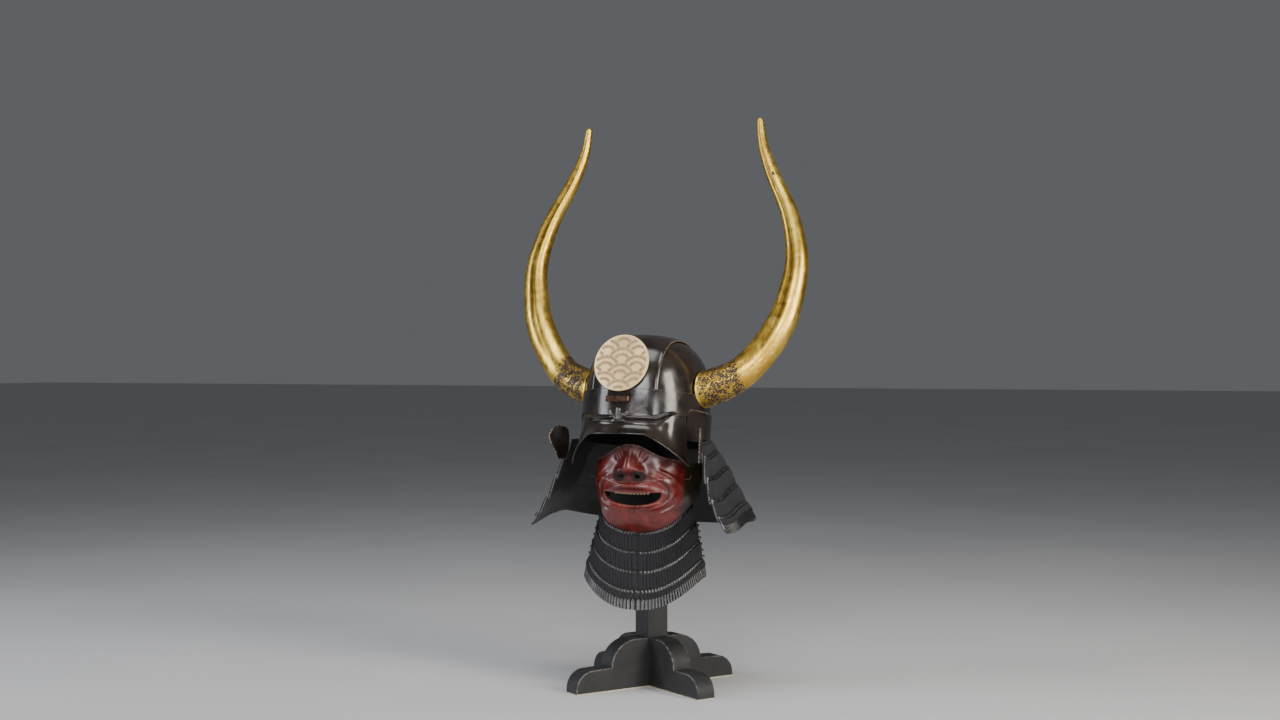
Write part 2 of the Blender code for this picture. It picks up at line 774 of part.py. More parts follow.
def build_flap(side, name, helmet):
    """One ear flap: a round-topped leaf at the front corner of the top row, narrower below and cupped."""
    corner = neck_point(1.0, FLAP_LEVEL, -(LAME_WALL - FLAP_WALL) / 2.0)
    bm = bmesh.new()
    outline = []
    for step in range(20):
        turn = math.tau * step / 20
        rise = math.sin(turn)
        taper = 0.24 + 0.76 * smooth((rise + 1.0) / 1.5)
        reach = math.cos(turn) * taper if math.cos(turn) > 0.0 else -abs(math.cos(turn)) ** 0.35
        outline.append((FLAP_LENGTH / 2.0 * (reach + 1.0), FLAP_HEIGHT / 2.0 * rise))
    extrude_outline(bm, outline, Matrix.Identity(4), FLAP_WALL)
    heading = Vector((math.sin(FLAP_TURN), -math.cos(FLAP_TURN), 0.0))
    outward = Vector((math.cos(FLAP_TURN), math.sin(FLAP_TURN), 0.0))
    root = Vector((corner.x, corner.y - GAP - FLAP_WALL * math.sin(FLAP_TURN), corner.z + FLAP_RISE))
    for spot in bm.verts:
        cup = FLAP_CUP * (spot.co.x / FLAP_LENGTH) ** 2
        placed = root + heading * spot.co.x + outward * (cup - spot.co.y) + Vector((0.0, 0.0, spot.co.z))
        spot.co = (placed.x * side, placed.y, placed.z)
    finish_piece(name, bm, BLACK_LACQUER, helmet)


# Mask

def mask_edges(turn):
    """Heights of the mask's lower and upper edges at this turn from the front."""
    side = abs(turn) / MASK_SWEEP
    low = MASK_CHIN_Z + MASK_HEIGHT * (0.10 * smooth(side / 0.55) + 0.26 * smooth((side - 0.40) / 0.60))
    top = MASK_CHIN_Z + MASK_HEIGHT * (1.0 - 0.15 * smooth(side / 0.42) - 0.07 * smooth((side - 0.3) / 0.5))
    return low, top


def mask_relief(across, height):
    """How far the face stands out from the mask's bare form: nose, cheeks, folds, lips and chin."""
    nose_top = MASK_CHIN_Z + MASK_HEIGHT
    tip = NOSTRIL_Z + NOSE_TIP_RISE
    if height > tip:
        ridge = 1.0 - 0.72 * smooth((height - tip) / (nose_top - tip))
    else:
        ridge = 1.0 - smooth((tip - height) / (NOSE_TIP_RISE * 1.3))
    width = NOSE_HALF_WIDTH * (1.0 + 0.6 * hump((height - tip) / (NOSE_TIP_RISE * 1.2)))
    relief = NOSE_REACH * ridge * hump(across / width)
    wing_out = hump((abs(across) - NOSTRIL_X * 1.25) / (NOSTRIL_WIDTH * 0.62))
    wing_up = hump((height - NOSTRIL_Z - NOSTRIL_HEIGHT * 0.5) / (NOSTRIL_HEIGHT * 1.1))
    relief += NOSE_WING_REACH * wing_out * wing_up
    for middle, spread, up, tall, reach in MASK_SWELLINGS:
        beside = hump((abs(across) / MASK_HALF_WIDTH - middle) / spread)
        relief += NOSE_REACH * reach * beside * hump(((height - MASK_CHIN_Z) / MASK_HEIGHT - up) / tall)
    mouth_middle = MOUTH_TOP_Z - MOUTH_HEIGHT * 0.45
    around = math.hypot(across / (MOUTH_HALF_WIDTH * 1.06), (height - mouth_middle) / (MOUTH_HEIGHT * 0.85))
    relief += LIP_REACH * hump((around - 1.0) / 0.20)
    fold = math.hypot(across / (MOUTH_HALF_WIDTH * 1.3), (height - MOUTH_TOP_Z) / (MOUTH_HEIGHT * 1.42))
    relief += FOLD_REACH * hump((fold - 1.0) / 0.14) * smooth((abs(across) / MOUTH_HALF_WIDTH - 0.37) / 0.46)
    return relief


def mask_point(turn, height, deeper):
    """A point of the mask's surface, or of the surface inside it."""
    place = (height - MASK_CHIN_Z) / MASK_HEIGHT
    wide = MASK_HALF_WIDTH * along(MASK_STATIONS, place, 1)
    deep = MASK_DEPTH * along(MASK_STATIONS, place, 2)
    bend = 2.0 / along(MASK_STATIONS, place, 3)
    side = power(math.sin(turn), bend)
    front = power(math.cos(turn), bend)
    push = mask_relief(wide * side, height) * smooth(math.cos(turn) / 0.35) - deeper
    return Vector(((wide + push) * side, MASK_CENTRE_Y - (deep + push) * front, height))


def build_mask():
    """The mask, with its mouth and nostrils cut through."""

    def surface(deeper):
        def point(column, row):
            swing = 2.0 * column - 1.0
            turn = MASK_SWEEP * (0.8 * swing + 0.2 * swing**3)
            low, top = mask_edges(turn)
            return mask_point(turn, low + (top - low) * row, deeper)
        return point

    mask = shell("mask_face", surface(0.0), surface(MASK_WALL), MASK_COLUMNS, MASK_ROWS, RED_LACQUER, None)
    bm = bmesh.new()
    lips = []
    for step in range(9):
        share = -1.0 + 2.0 * step / 8
        sag = MOUTH_SAG * (1.0 - share**2)
        lips.append((MOUTH_HALF_WIDTH * share, MOUTH_TOP_Z - MOUTH_HEIGHT * sag))
    for step in range(1, 10):
        turn = math.pi * step / 10
        lips.append((MOUTH_HALF_WIDTH * math.cos(turn), MOUTH_TOP_Z - MOUTH_HEIGHT * math.sin(turn) ** 0.8))
    ahead = Matrix.Translation((0.0, -MASK_DEPTH * 1.5, 0.0))
    extrude_outline(bm, lips, ahead, MASK_DEPTH)
    cut(mask, cutter(bm, None))
    for side in (-1.0, 1.0):
        bm = bmesh.new()
        hole = []
        for step in range(8):
            turn = math.tau * step / 8
            hole.append((
                NOSTRIL_X * side + NOSTRIL_WIDTH / 2.0 * math.cos(turn),
                NOSTRIL_Z + NOSTRIL_HEIGHT / 2.0 * (math.sin(turn) - 0.5),
            ))
        extrude_outline(bm, hole, ahead, MASK_DEPTH)
        cut(mask, cutter(bm, None))


def behind_mask(turns, low, high, gap):
    """How far forward a piece may reach behind the mask's wall over a patch of the face."""
    clear = MASK_WALL + gap
    heights = [low + (high - low) * step / 6 for step in range(7)]
    return max(mask_point(turn, height, clear).y for turn in turns for height in heights)


def build_teeth():
    """The strip of upper teeth that lies inside the mouth's upper edge."""

    def surface(deeper):
        def point(column, row):
            across = (2.0 * column - 1.0) * MOUTH_HALF_WIDTH * TEETH_SPAN
            height = MOUTH_TOP_Z + TEETH_HEIGHT - TEETH_HEIGHT * 2.0 * row
            turn = math.asin(across / MASK_HALF_WIDTH)
            low = MOUTH_TOP_Z - MOUTH_HEIGHT * MOUTH_SAG
            front = behind_mask((turn,), low, MOUTH_TOP_Z + TEETH_HEIGHT, FACET_GAP)
            return Vector((mask_point(turn, MOUTH_TOP_Z, 0.0).x, front + deeper, height))
        return point

    shell("mask_teeth", surface(0.0), surface(TEETH_WALL), 12, 1, TOOTH, None)


def build_hook(side, name):
    """A small wire hook that stands out of one cheek and turns up at its end."""
    root = mask_point(HOOK_TURN, HOOK_Z, -HOOK_WIRE * 0.6 - GAP)
    stations = ((0.0, 0.0), (0.5, 0.0), (0.9, 0.15), (1.05, 0.6))
    bm = bmesh.new()
    rings = []
    for number, (out, up) in enumerate(stations):
        before = stations[max(number - 1, 0)]
        after = stations[min(number + 1, len(stations) - 1)]
        heading = Vector((after[0] - before[0], 0.0, after[1] - before[1])).normalized()
        lift = heading.cross(Vector((0.0, 1.0, 0.0)))
        ring = []
        for corner in range(6):
            turn = math.tau * corner / 6
            spot = Vector((root.x + HOOK_REACH * out, root.y, root.z + HOOK_REACH * up))
            spot += (Vector((0.0, 1.0, 0.0)) * math.sin(turn) + lift * math.cos(turn)) * HOOK_WIRE
            ring.append(bm.verts.new((spot.x * side, spot.y, spot.z)))
        rings.append(ring)
    for low, high in zip(rings, rings[1:]):
        join_edges(bm, low + low[:1], high + high[:1])
    bm.faces.new(rings[0])
    bm.faces.new(rings[-1])
    finish_piece(name, bm, COPPER, None)


# Throat guard

def throat_point(share, level, grown):
    """A point of the throat guard: its top follows the mask's lower edge, its foot hangs a little turned."""
    turn = (2.0 * share - 1.0) * THROAT_SWEEP
    top = mask_point(turn, mask_edges(turn)[0], -grown)
    top.z -= THROAT_CLEAR
    bend = 2.0 / THROAT_ROUNDNESS
    side = (THROAT_HALF_WIDTH + grown) * power(math.sin(turn), bend)
    front = (THROAT_DEPTH + grown) * power(math.cos(turn), bend)
    twist = THROAT_TWIST
    foot = Vector((
        side * math.cos(twist) + front * math.sin(twist),
        THROAT_CENTRE_Y + side * math.sin(twist) - front * math.cos(twist),
        THROAT_FOOT_Z + THROAT_FOOT_RISE * (1.0 - max(math.cos(turn), 0.0) ** THROAT_FOOT_CURVE),
    ))
    return top.lerp(foot, level)


def throat_row(number, share, drop, grown):
    """A point of one row, which tucks its foot behind the row below."""
    tucked = grown - THROAT_WALL - FACET_GAP
    if drop > 1.0:
        return throat_row(number + 1, share, drop - 1.0, tucked)
    upper = throat_point(share, number / THROAT_COUNT, grown)
    last = number == THROAT_COUNT - 1
    lower = throat_point(share, (number + 1) / THROAT_COUNT, grown if last else tucked)
    return upper.lerp(lower, drop)


def build_throat_guard():
    """Four rows, each with the band of lacing that lies on it."""
    fall = (MASK_CHIN_Z - THROAT_FOOT_Z) / THROAT_COUNT
    for number in range(THROAT_COUNT):
        last = number == THROAT_COUNT - 1
        end = LAST_LACE_SHARE if last else 1.0
        foot = 1.0 if last else 1.0 + LAME_TUCK / fall

        def point(column, drop, grown, number=number):
            return throat_row(number, column, drop, grown)

        name = (f"throat_lame_{number + 1}", f"throat_lacing_{number + 1}")
        laced_row(name, point, (0.0, LACE_SKIP / fall, end, foot), THROAT_COLUMNS, THROAT_WALL, None)


# Stand

def foot_outline():
    """Half of a board's stepped outline, from its end up to the middle."""
    points = [(FOOT_REACH, 0.0)]
    for step in range(7):
        turn = math.pi / 2.0 * step / 6
        points.append((
            FOOT_REACH - FOOT_ROUND + FOOT_ROUND * math.cos(turn),
            FOOT_HEIGHT - FOOT_ROUND + FOOT_ROUND * math.sin(turn),
        ))
    for step in range(7):
        turn = math.pi / 2.0 * step / 6
        points.append((
            STEP_FLAT + STEP_RUN * math.cos(turn),
            STEP_HEIGHT - STEP_ROUND + STEP_ROUND * math.sin(turn),
        ))
    return points


def build_board(name, turn, notch_from, notch_to):
    """One board of the cross, with a notch at its middle for the other board."""
    half = foot_outline()
    outline = half + [(-x, z) for x, z in reversed(half)]
    bm = bmesh.new()
    extrude_outline(bm, outline, Matrix.Translation((0.0, -BOARD_WIDTH / 2.0, 0.0)), BOARD_WIDTH)
    bmesh.ops.rotate(bm, verts=bm.verts, cent=(0.0, 0.0, 0.0), matrix=Matrix.Rotation(turn, 3, "Z"))
    board = finish_piece(name, bm, STAND_BLACK, None)
    bm = bmesh.new()
    half_notch = BOARD_WIDTH / 2.0 + GAP
    made = box_solid(bm, (-half_notch, -BOARD_WIDTH, notch_from), (half_notch, BOARD_WIDTH, notch_to))
    bmesh.ops.rotate(bm, verts=made, cent=(0.0, 0.0, 0.0), matrix=Matrix.Rotation(turn, 3, "Z"))
    cut(board, cutter(bm, None))


def pad_underside(x, y):
    """World height of the pad's flat underside above a point, with the helmet's lean."""
    floor = BOWL_HEIGHT - BOWL_WALL - FACET_GAP - PAD_DEPTH
    lean = HELMET_LEAN
    forward = y - HELMET_Y - floor * math.sin(lean)
    return HELMET_Z + floor * math.cos(lean) - forward * math.tan(lean)


def build_stand(helmet):
    """The crossed boards, the post, the pad under the bowl's crown and the arm behind the mask."""
    middle = STEP_HEIGHT / 2.0
    build_board("stand_board_a", BOARD_TURN, middle - GAP / 2.0, STEP_HEIGHT + CUT_OVER)
    build_board("stand_board_b", BOARD_TURN + math.pi / 2.0, -CUT_OVER, middle + GAP / 2.0)
    bm = bmesh.new()
    half = POST_WIDTH / 2.0
    post = box_solid(bm, (-half, -half, STEP_HEIGHT + GAP), (half, half, HELMET_Z))
    bmesh.ops.rotate(bm, verts=post, cent=(0.0, 0.0, 0.0), matrix=Matrix.Rotation(BOARD_TURN, 3, "Z"))
    for corner in post:
        if corner.co.z > STEP_HEIGHT + GAP * 2.0:
            corner.co.z = pad_underside(corner.co.x, corner.co.y) - GAP
    finish_piece("stand_post", bm, STAND_BLACK, None)
    bm = bmesh.new()
    grown = -BOWL_WALL - FACET_GAP
    floor = BOWL_HEIGHT + grown - PAD_DEPTH
    rim = dome_rings(bm, grown, floor, 24, 4)
    bm.faces.new(rim)
    finish_piece("stand_head_pad", bm, STAND_BLACK, helmet)
    bm = bmesh.new()
    edge = math.asin(ARM_WIDTH / MASK_HALF_WIDTH)
    reach = behind_mask((0.0, edge), ARM_Z - ARM_WIDTH * 0.6, ARM_Z + ARM_WIDTH * 0.6, FACET_GAP * 2.4)
    corner_y = -half * (math.cos(BOARD_TURN) + abs(math.sin(BOARD_TURN)))
    turned = Matrix.Rotation(BOARD_TURN, 4, "Z")
    arm_root = -half - GAP
    box_solid(bm, (-ARM_WIDTH / 2.0, -POST_WIDTH * 1.2, ARM_Z - ARM_WIDTH / 2.0),
              (ARM_WIDTH / 2.0, arm_root, ARM_Z + ARM_WIDTH / 2.0))
    bmesh.ops.transform(bm, matrix=turned, verts=bm.verts)
    for corner in bm.verts:
        if corner.co.y < corner_y:
            corner.co.y = reach
    finish_piece("mask_arm", bm, STAND_BLACK, None)


def main():
    """Builds the helmet group, which leans back, and the pieces that stand upright."""
    clear_scene()
    helmet = frame_empty("helmet_frame", (0.0, HELMET_Y, HELMET_Z), (-HELMET_LEAN, 0.0, 0.0))
    build_bowl(helmet)
    build_top_plate(helmet)
    build_brow_plate(helmet)
    build_side_band(helmet)
    build_visor(helmet)
    build_horn(1.0, "horn_left", helmet)
    build_horn(-1.0, "horn_right", helmet)
    build_crest_disc(helmet)
    build_crest_holder(helmet)
    build_neck_guard(helmet)
    build_flap(1.0, "ear_flap_left", helmet)
    build_flap(-1.0, "ear_flap_right", helmet)
    build_mask()
    build_teeth()
    build_hook(1.0, "cheek_hook_left")
    build_hook(-1.0, "cheek_hook_right")
    build_throat_guard()
    build_stand(helmet)


main()
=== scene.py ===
"""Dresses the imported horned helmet, its face mask, throat guard and stand: fine walls, silk lacing, gold leaf
and worn lacquer, with a pale floor, soft light and the photograph's camera.

Metres, +Z up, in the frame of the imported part. The face looks along -Y and the wearer's left is at +X.
"""

import logging
import math
import random
from dataclasses import dataclass, field
from enum import Enum
from typing import Callable

import bmesh
import bpy
from mathutils import Matrix, Vector


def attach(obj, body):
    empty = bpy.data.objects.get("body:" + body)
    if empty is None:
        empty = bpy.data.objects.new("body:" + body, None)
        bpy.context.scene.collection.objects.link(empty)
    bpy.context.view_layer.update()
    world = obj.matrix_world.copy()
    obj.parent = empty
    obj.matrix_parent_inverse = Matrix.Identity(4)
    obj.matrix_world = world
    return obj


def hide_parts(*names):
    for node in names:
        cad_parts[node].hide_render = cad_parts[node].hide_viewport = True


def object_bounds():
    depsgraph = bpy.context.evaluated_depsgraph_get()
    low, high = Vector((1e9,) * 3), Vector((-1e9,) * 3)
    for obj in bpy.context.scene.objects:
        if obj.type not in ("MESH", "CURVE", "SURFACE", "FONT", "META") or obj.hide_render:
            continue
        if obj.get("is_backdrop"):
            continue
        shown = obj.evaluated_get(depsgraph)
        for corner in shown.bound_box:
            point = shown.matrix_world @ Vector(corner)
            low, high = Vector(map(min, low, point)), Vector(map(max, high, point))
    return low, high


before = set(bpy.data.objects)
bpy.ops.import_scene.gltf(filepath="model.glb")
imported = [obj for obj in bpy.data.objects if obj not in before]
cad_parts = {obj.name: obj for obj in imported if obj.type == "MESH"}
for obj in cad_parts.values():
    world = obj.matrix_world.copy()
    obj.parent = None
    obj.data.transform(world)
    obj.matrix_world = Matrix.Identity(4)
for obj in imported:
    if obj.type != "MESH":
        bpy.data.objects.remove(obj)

logging.basicConfig(level=logging.INFO, format="%(name)s: %(message)s")
LOG = logging.getLogger("helmet")

Surface = Callable[[float, float], Vector]
Amount = Callable[[float, float], float]
CAD_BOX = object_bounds()

# Clearances between pieces, and between a curved piece and one that follows it
GAP = 0.0003
FACET_GAP = 0.0008

# Where the helmet sits on its stand, leaning back
HELMET_PLACE = Matrix.Translation((0.0, -0.019, 0.487)) @ Matrix.Rotation(math.radians(-8.0), 4, "X")

# The horn's run from its root, as shares of its named sizes
HORN_STATIONS = (
    # out, back, up, width
    (0.00, 0.00, 0.000, 1.00),
    (0.26, 0.14, 0.029, 0.94),
    (0.47, 0.29, 0.069, 0.85),
    (0.66, 0.46, 0.136, 0.82),
    (0.83, 0.56, 0.222, 0.80),
    (0.94, 0.65, 0.318, 0.73),
    (1.00, 0.76, 0.475, 0.61),
    (0.88, 0.89, 0.640, 0.48),
    (0.63, 0.99, 0.805, 0.37),
    (0.505, 1.00, 0.910, 0.27),
    (0.46, 0.96, 1.000, 0.19),
)

# Where each row of the neck guard starts
NECK_STATIONS = (
    # down, out, back
    (0.00, 0.00, 0.00),
    (0.13, 0.15, 0.14),
    (0.33, 0.38, 0.37),
    (0.56, 0.58, 0.60),
    (0.78, 0.79, 0.81),
    (1.00, 1.00, 1.00),
)

# The mask's bare form from its chin up
MASK_STATIONS = (
    # up, half width, depth, squareness
    (0.00, 0.76, 0.62, 3.0),
    (0.10, 0.82, 0.72, 2.9),
    (0.22, 0.88, 0.80, 2.7),
    (0.34, 0.92, 0.84, 2.4),
    (0.46, 0.95, 0.94, 2.2),
    (0.56, 0.97, 1.00, 2.2),
    (0.66, 0.99, 0.98, 2.2),
    (0.80, 1.00, 0.95, 2.1),
    (1.00, 1.00, 0.95, 2.1),
)

# The mask's rounded swellings, as shares of its half width, its height and the nose's reach
MASK_SWELLINGS = (
    # across, width, up, height, reach
    (0.53, 0.19, 0.74, 0.10, 0.29),
    (0.00, 0.32, 0.54, 0.06, 0.24),
    (0.00, 0.29, 0.14, 0.10, 0.29),
)


class Side(Enum):
    """The wearer's side, with its sign along X."""

    LEFT = 1.0
    RIGHT = -1.0


# Numbers that several forms share

def smooth(value: float) -> float:
    """Eases from 0 to 1 with level ends."""
    value = min(max(value, 0.0), 1.0)
    return value * value * (3.0 - 2.0 * value)


def hump(value: float) -> float:
    """A round bump that is 1 at zero and fades out by about two."""
    return math.exp(-value * value)


def power(value: float, exponent: float) -> float:
    """A signed power, for squared-off round outlines."""
    return math.copysign(abs(value) ** exponent, value)


def row_before(stations: tuple, place: float) -> int:
    """Which row of a table of stations lies just before a place."""
    index = 0
    while index < len(stations) - 2 and place > stations[index + 1][0]:
        index += 1
    return index


def along_curve(stations: tuple, place: float, column: int) -> float:
    """Reads one column of a table of stations on a smooth curve through its rows.

    Args:
        stations: rows whose first column rises.
        place: where to read, in the first column's terms.
        column: which column to read.

    Returns:
        The value there.
    """
    last = len(stations) - 1
    place = min(max(place, stations[0][0]), stations[last][0])
    index = row_before(stations, place)
    slopes = []
    for number in (index, index + 1):
        before, after = stations[max(number - 1, 0)], stations[min(number + 1, last)]
        slopes.append((after[column] - before[column]) / (after[0] - before[0]))
    low, high = stations[index], stations[index + 1]
    span = high[0] - low[0]
    t = (place - low[0]) / span
    start = (2.0 * t**3 - 3.0 * t**2 + 1.0) * low[column] + (t**3 - 2.0 * t**2 + t) * span * slopes[0]
    return start + (3.0 * t**2 - 2.0 * t**3) * high[column] + (t**3 - t**2) * span * slopes[1]


def along(stations: tuple, place: float, column: int) -> float:
    """Reads one column of a table of stations at a place between its rows, in straight steps.

    Args:
        stations: rows whose first column rises.
        place: where to read, in the first column's terms.
        column: which column to read.

    Returns:
        The value there.
    """
    index = row_before(stations, place)
    low, high = stations[index], stations[index + 1]
    share = min(max((place - low[0]) / (high[0] - low[0]), 0.0), 1.0)
    return low[column] + (high[column] - low[column]) * share


# Materials

def linear(code: str) -> tuple[float, float, float, float]:
    """Turns an sRGB hex colour such as "#8a2a1c" into linear values.

    Args:
        code: the colour as seen on a screen.

    Returns:
        Red, green, blue and alpha for a shader.
    """
    values = [int(code[start:start + 2], 16) / 255.0 for start in (1, 3, 5)]
    lit = [v / 12.92 if v <= 0.04045 else ((v + 0.055) / 1.055) ** 2.4 for v in values]
    return (lit[0], lit[1], lit[2], 1.0)


class Source:
    """Something that has a value or a colour at each point of a surface."""

    def value(self, tree: "Tree") -> bpy.types.NodeSocket:
        """Adds what it takes to a tree and hands over its value."""
        raise NotImplementedError


class Tree:
    """The nodes of one material; sizes in it are real ones, in metres."""

    def __init__(self, name: str) -> None:
        """Starts a material of this name."""
        self.material = bpy.data.materials.new(name)
        self.material.use_nodes = True
        self.nodes = self.material.node_tree.nodes
        self.links = self.material.node_tree.links
        self.made: dict[Source, bpy.types.NodeSocket] = {}
        self.place = self.node("TexCoord", "Object")

    def feed(self, node: bpy.types.Node, inputs: dict) -> None:
        """Links sources and sockets to a node's inputs and sets plain values, with a hex code as a colour."""
        for name, value in inputs.items():
            if isinstance(value, Source):
                if value not in self.made:
                    self.made[value] = value.value(self)
                value = self.made[value]
            if isinstance(value, bpy.types.NodeSocket):
                self.links.new(value, node.inputs[name])
            else:
                node.inputs[name].default_value = linear(value) if isinstance(value, str) else value

    def node(self, kind: str, output: str | int, inputs: dict | None = None,
             **settings: str) -> bpy.types.NodeSocket:
        """Adds a node with its settings and links.

        Args:
            kind: its type, without the prefix that all types share.
            output: name or number of the output that is wanted.
            inputs: what each input takes, by its name or number.
            settings: the node's own settings.

        Returns:
            The wanted output.
        """
        node = self.nodes.new(f"ShaderNode{kind}")
        for name, value in settings.items():
            setattr(node, name, value)
        self.feed(node, inputs or {})
        return node.outputs[output]


@dataclass(frozen=True)
class Mark(Source):
    """A number that the mesh carries at each point."""

    name: str

    def value(self, tree: Tree) -> bpy.types.NodeSocket:
        """Reads the number."""
        return tree.node("Attribute", "Fac", attribute_name=self.name)


@dataclass(frozen=True)
class Cloud(Source):
    """Cloudy noise with blobs about this wide, drawn out along an axis by a stretch below 1."""

    size: float
    detail: float = 3.0
    stretch: tuple[float, float, float] = (1.0, 1.0, 1.0)

    def value(self, tree: Tree) -> bpy.types.NodeSocket:
        """Adds the noise."""
        scale = tuple(part / self.size for part in self.stretch)
        where = tree.node("Mapping", "Vector", {"Vector": tree.place, "Scale": scale})
        return tree.node("TexNoise", "Fac", {"Vector": where, "Scale": 1.0, "Detail": self.detail})


@dataclass(frozen=True)
class LeafSeams(Source):
    """How far it is to the nearest seam between leaves of gold."""

    size: float

    def value(self, tree: Tree) -> bpy.types.NodeSocket:
        """Adds irregular cells of the leaves' size."""
        inputs = {"Vector": tree.place, "Scale": 1.0 / self.size}
        return tree.node("TexVoronoi", "Distance", inputs, feature="DISTANCE_TO_EDGE")


@dataclass(frozen=True)
class Eased(Source):
    """Another source's values between two limits turned into others, with level ends."""

    source: Source
    low: float
    high: float
    start: float | Source = 0.0
    end: float = 1.0

    def value(self, tree: Tree) -> bpy.types.NodeSocket:
        """Adds the range."""
        inputs = {"Value": self.source, "From Min": self.low, "From Max": self.high, "To Min": self.start,
                  "To Max": self.end}
        return tree.node("MapRange", "Result", inputs, interpolation_type="SMOOTHSTEP")


@dataclass(frozen=True)
class Sum(Source):
    """Two numbers joined by one operation."""

    operation: str
    first: float | Source
    second: float | Source

    def value(self, tree: Tree) -> bpy.types.NodeSocket:
        """Adds the operation."""
        return tree.node("Math", 0, {0: self.first, 1: self.second}, operation=self.operation)


@dataclass(frozen=True)
class Blend(Source):
    """One colour over another, as far as a share lets it show."""

    share: Source
    below: str | Source
    above: str | Source

    def value(self, tree: Tree) -> bpy.types.NodeSocket:
        """Adds the mix."""
        return tree.node("Mix", 2, {0: self.share, 6: self.below, 7: self.above}, data_type="RGBA")


@dataclass(frozen=True)
class Threads(Source):
    """The herringbone of a flat braid's threads, from -1 to 1, on the braid's flat map."""

    pitch: float

    def value(self, tree: Tree) -> bpy.types.NodeSocket:
        """Adds waves that lean away from the braid's middle line on both sides."""
        flat = tree.node("UVMap", "UV", uv_map="UVMap")
        across = tree.node("SeparateXYZ", "X", {"Vector": flat})
        down = tree.node("SeparateXYZ", "Y", {"Vector": flat})
        from_middle = tree.node("Math", 0, {0: across}, operation="ABSOLUTE")
        slant = tree.node("Math", 0, {0: down, 1: from_middle}, operation="ADD")
        turn = tree.node("Math", 0, {0: slant, 1: math.tau / self.pitch}, operation="MULTIPLY")
        return tree.node("Math", 0, {0: turn}, operation="SINE")


@dataclass(frozen=True)
class Paint:
    """One finish.

    Attributes:
        name: the real material's name.
        base: its colour.
        coats: the colours over it from below, each with the share in which it shows.
        surface: what the shader's other inputs take.
        relief: low relief from below, each a source and its real height.
    """

    name: str
    base: str
    coats: tuple[tuple[str | Source, Source], ...]
    surface: dict[str, float | Source]
    relief: tuple[tuple[Source, float], ...] = ()

    def material(self) -> bpy.types.Material:
        """Makes the material."""
        tree = Tree(self.name)
        colour = self.base
        for above, share in self.coats:
            colour = Blend(share, colour, above)
        inputs = {"Base Color": colour, **self.surface}
        for source, height in self.relief:
            bump = {"Height": source, "Distance": height, "Strength": 1.0}
            if "Normal" in inputs:
                bump["Normal"] = inputs["Normal"]
            inputs["Normal"] = tree.node("Bump", "Normal", bump)
        tree.feed(tree.nodes["Principled BSDF"], inputs)
        return tree.material


def lacquer(name: str, base: str, deep: str, worn: str, gloss: tuple[float, float], clear: float) -> Paint:
    """Old brushed lacquer: a faint hand-made ripple, fine dust, rubbed edges, and painted shade that makes the inner
    surface near black and matt.

    Args:
        name: the lacquer's name.
        base: its colour.
        deep: the darker colour that clouds it.
        worn: the colour of rubbed edges and dust, and on the scales' heads also of a painted highlight.
        gloss: its least and greatest roughness.
        clear: how much of a clear top layer it has.

    Returns:
        The finish.
    """
    uneven = Eased(Cloud(0.004, 5.0), 0.30, 0.62, 0.55, 1.25)
    # Rubbed edges; on the black scales' heads this also paints a highlight
    rubbed = Eased(Sum("MULTIPLY", Mark("edge"), uneven), 0.62, 0.92, 0.0, 0.9)
    # Painted shade: the inner surface is made near black and matt
    inside = Eased(Mark("inside"), 0.4, 0.6)
    dull = Eased(Cloud(0.018, 5.0), 0.30, 0.70, *gloss)
    dull = Sum("MAXIMUM", Eased(rubbed, 0.0, 1.0, dull, 0.55), Eased(inside, 0.0, 1.0, 0.0, 0.72))
    coats = (
        (deep, Eased(Cloud(0.045), 0.35, 0.65)),
        (worn, rubbed),
        (worn, Eased(Cloud(0.0016, 2.0), 0.735, 0.765, 0.0, 0.6)),
        # near-black painted shade on the inner surface
        ("#060606", inside),
    )
    return Paint(name, base, coats, {"Roughness": dull, "Coat Weight": clear, "Coat Roughness": 0.14},
                 ((Cloud(0.016, 1.0), 0.00030), (Cloud(0.0015), 0.000025)))


def red_lacquer() -> Paint:
    """Red lacquer over iron: glossy swellings, matt painted shade without a clear layer, brown rubbed ridges."""
    cloud = Cloud(0.024, 4.0)
    hollow = Sum("MULTIPLY", Mark("hollow"), Eased(cloud, 0.2, 0.7, 1.2, 0.75))
    ridge = Sum("MULTIPLY", Mark("ridge"), Eased(Cloud(0.0035, 5.0), 0.3, 0.62, 0.5, 1.3))
    jaw = Sum("MULTIPLY", Mark("jaw"), Eased(Cloud(0.012, 4.0), 0.3, 0.7, 0.8, 1.15))
    dull = Eased(Cloud(0.010, 5.0), 0.3, 0.7, 0.27, 0.39)
    coats = (
        ("#48110e", Eased(cloud, 0.32, 0.68)),
        ("#7f2c23", Eased(Cloud(0.006, 3.0, (1.0, 1.0, 0.35)), 0.56, 0.80, 0.0, 0.40)),
        # Near-black painted shade in nostrils, creases, below the nose, below the visor and below the chin
        ("#140706", Eased(hollow, 0.06, 0.85)),
        ("#865f49", Eased(ridge, 0.38, 0.95, 0.0, 0.85)),
        ("#2b2218", Eased(jaw, 0.25, 0.85)),
        ("#2a100c", Eased(Cloud(0.0022, 2.0), 0.70, 0.74, 0.0, 0.7)),
    )
    surface = {
        "Roughness": Sum("MAXIMUM", dull, Eased(hollow, 0.10, 0.70, 0.0, 0.85)),
        "Coat Weight": Eased(hollow, 0.05, 0.45, 0.30, 0.0),
        "Coat Roughness": 0.22,
    }
    return Paint("red_urushi_lacquer_over_iron", "#6d1d18", coats, surface,
                 ((Cloud(0.010, 2.0), 0.00035), (Cloud(0.0014), 0.00005)))


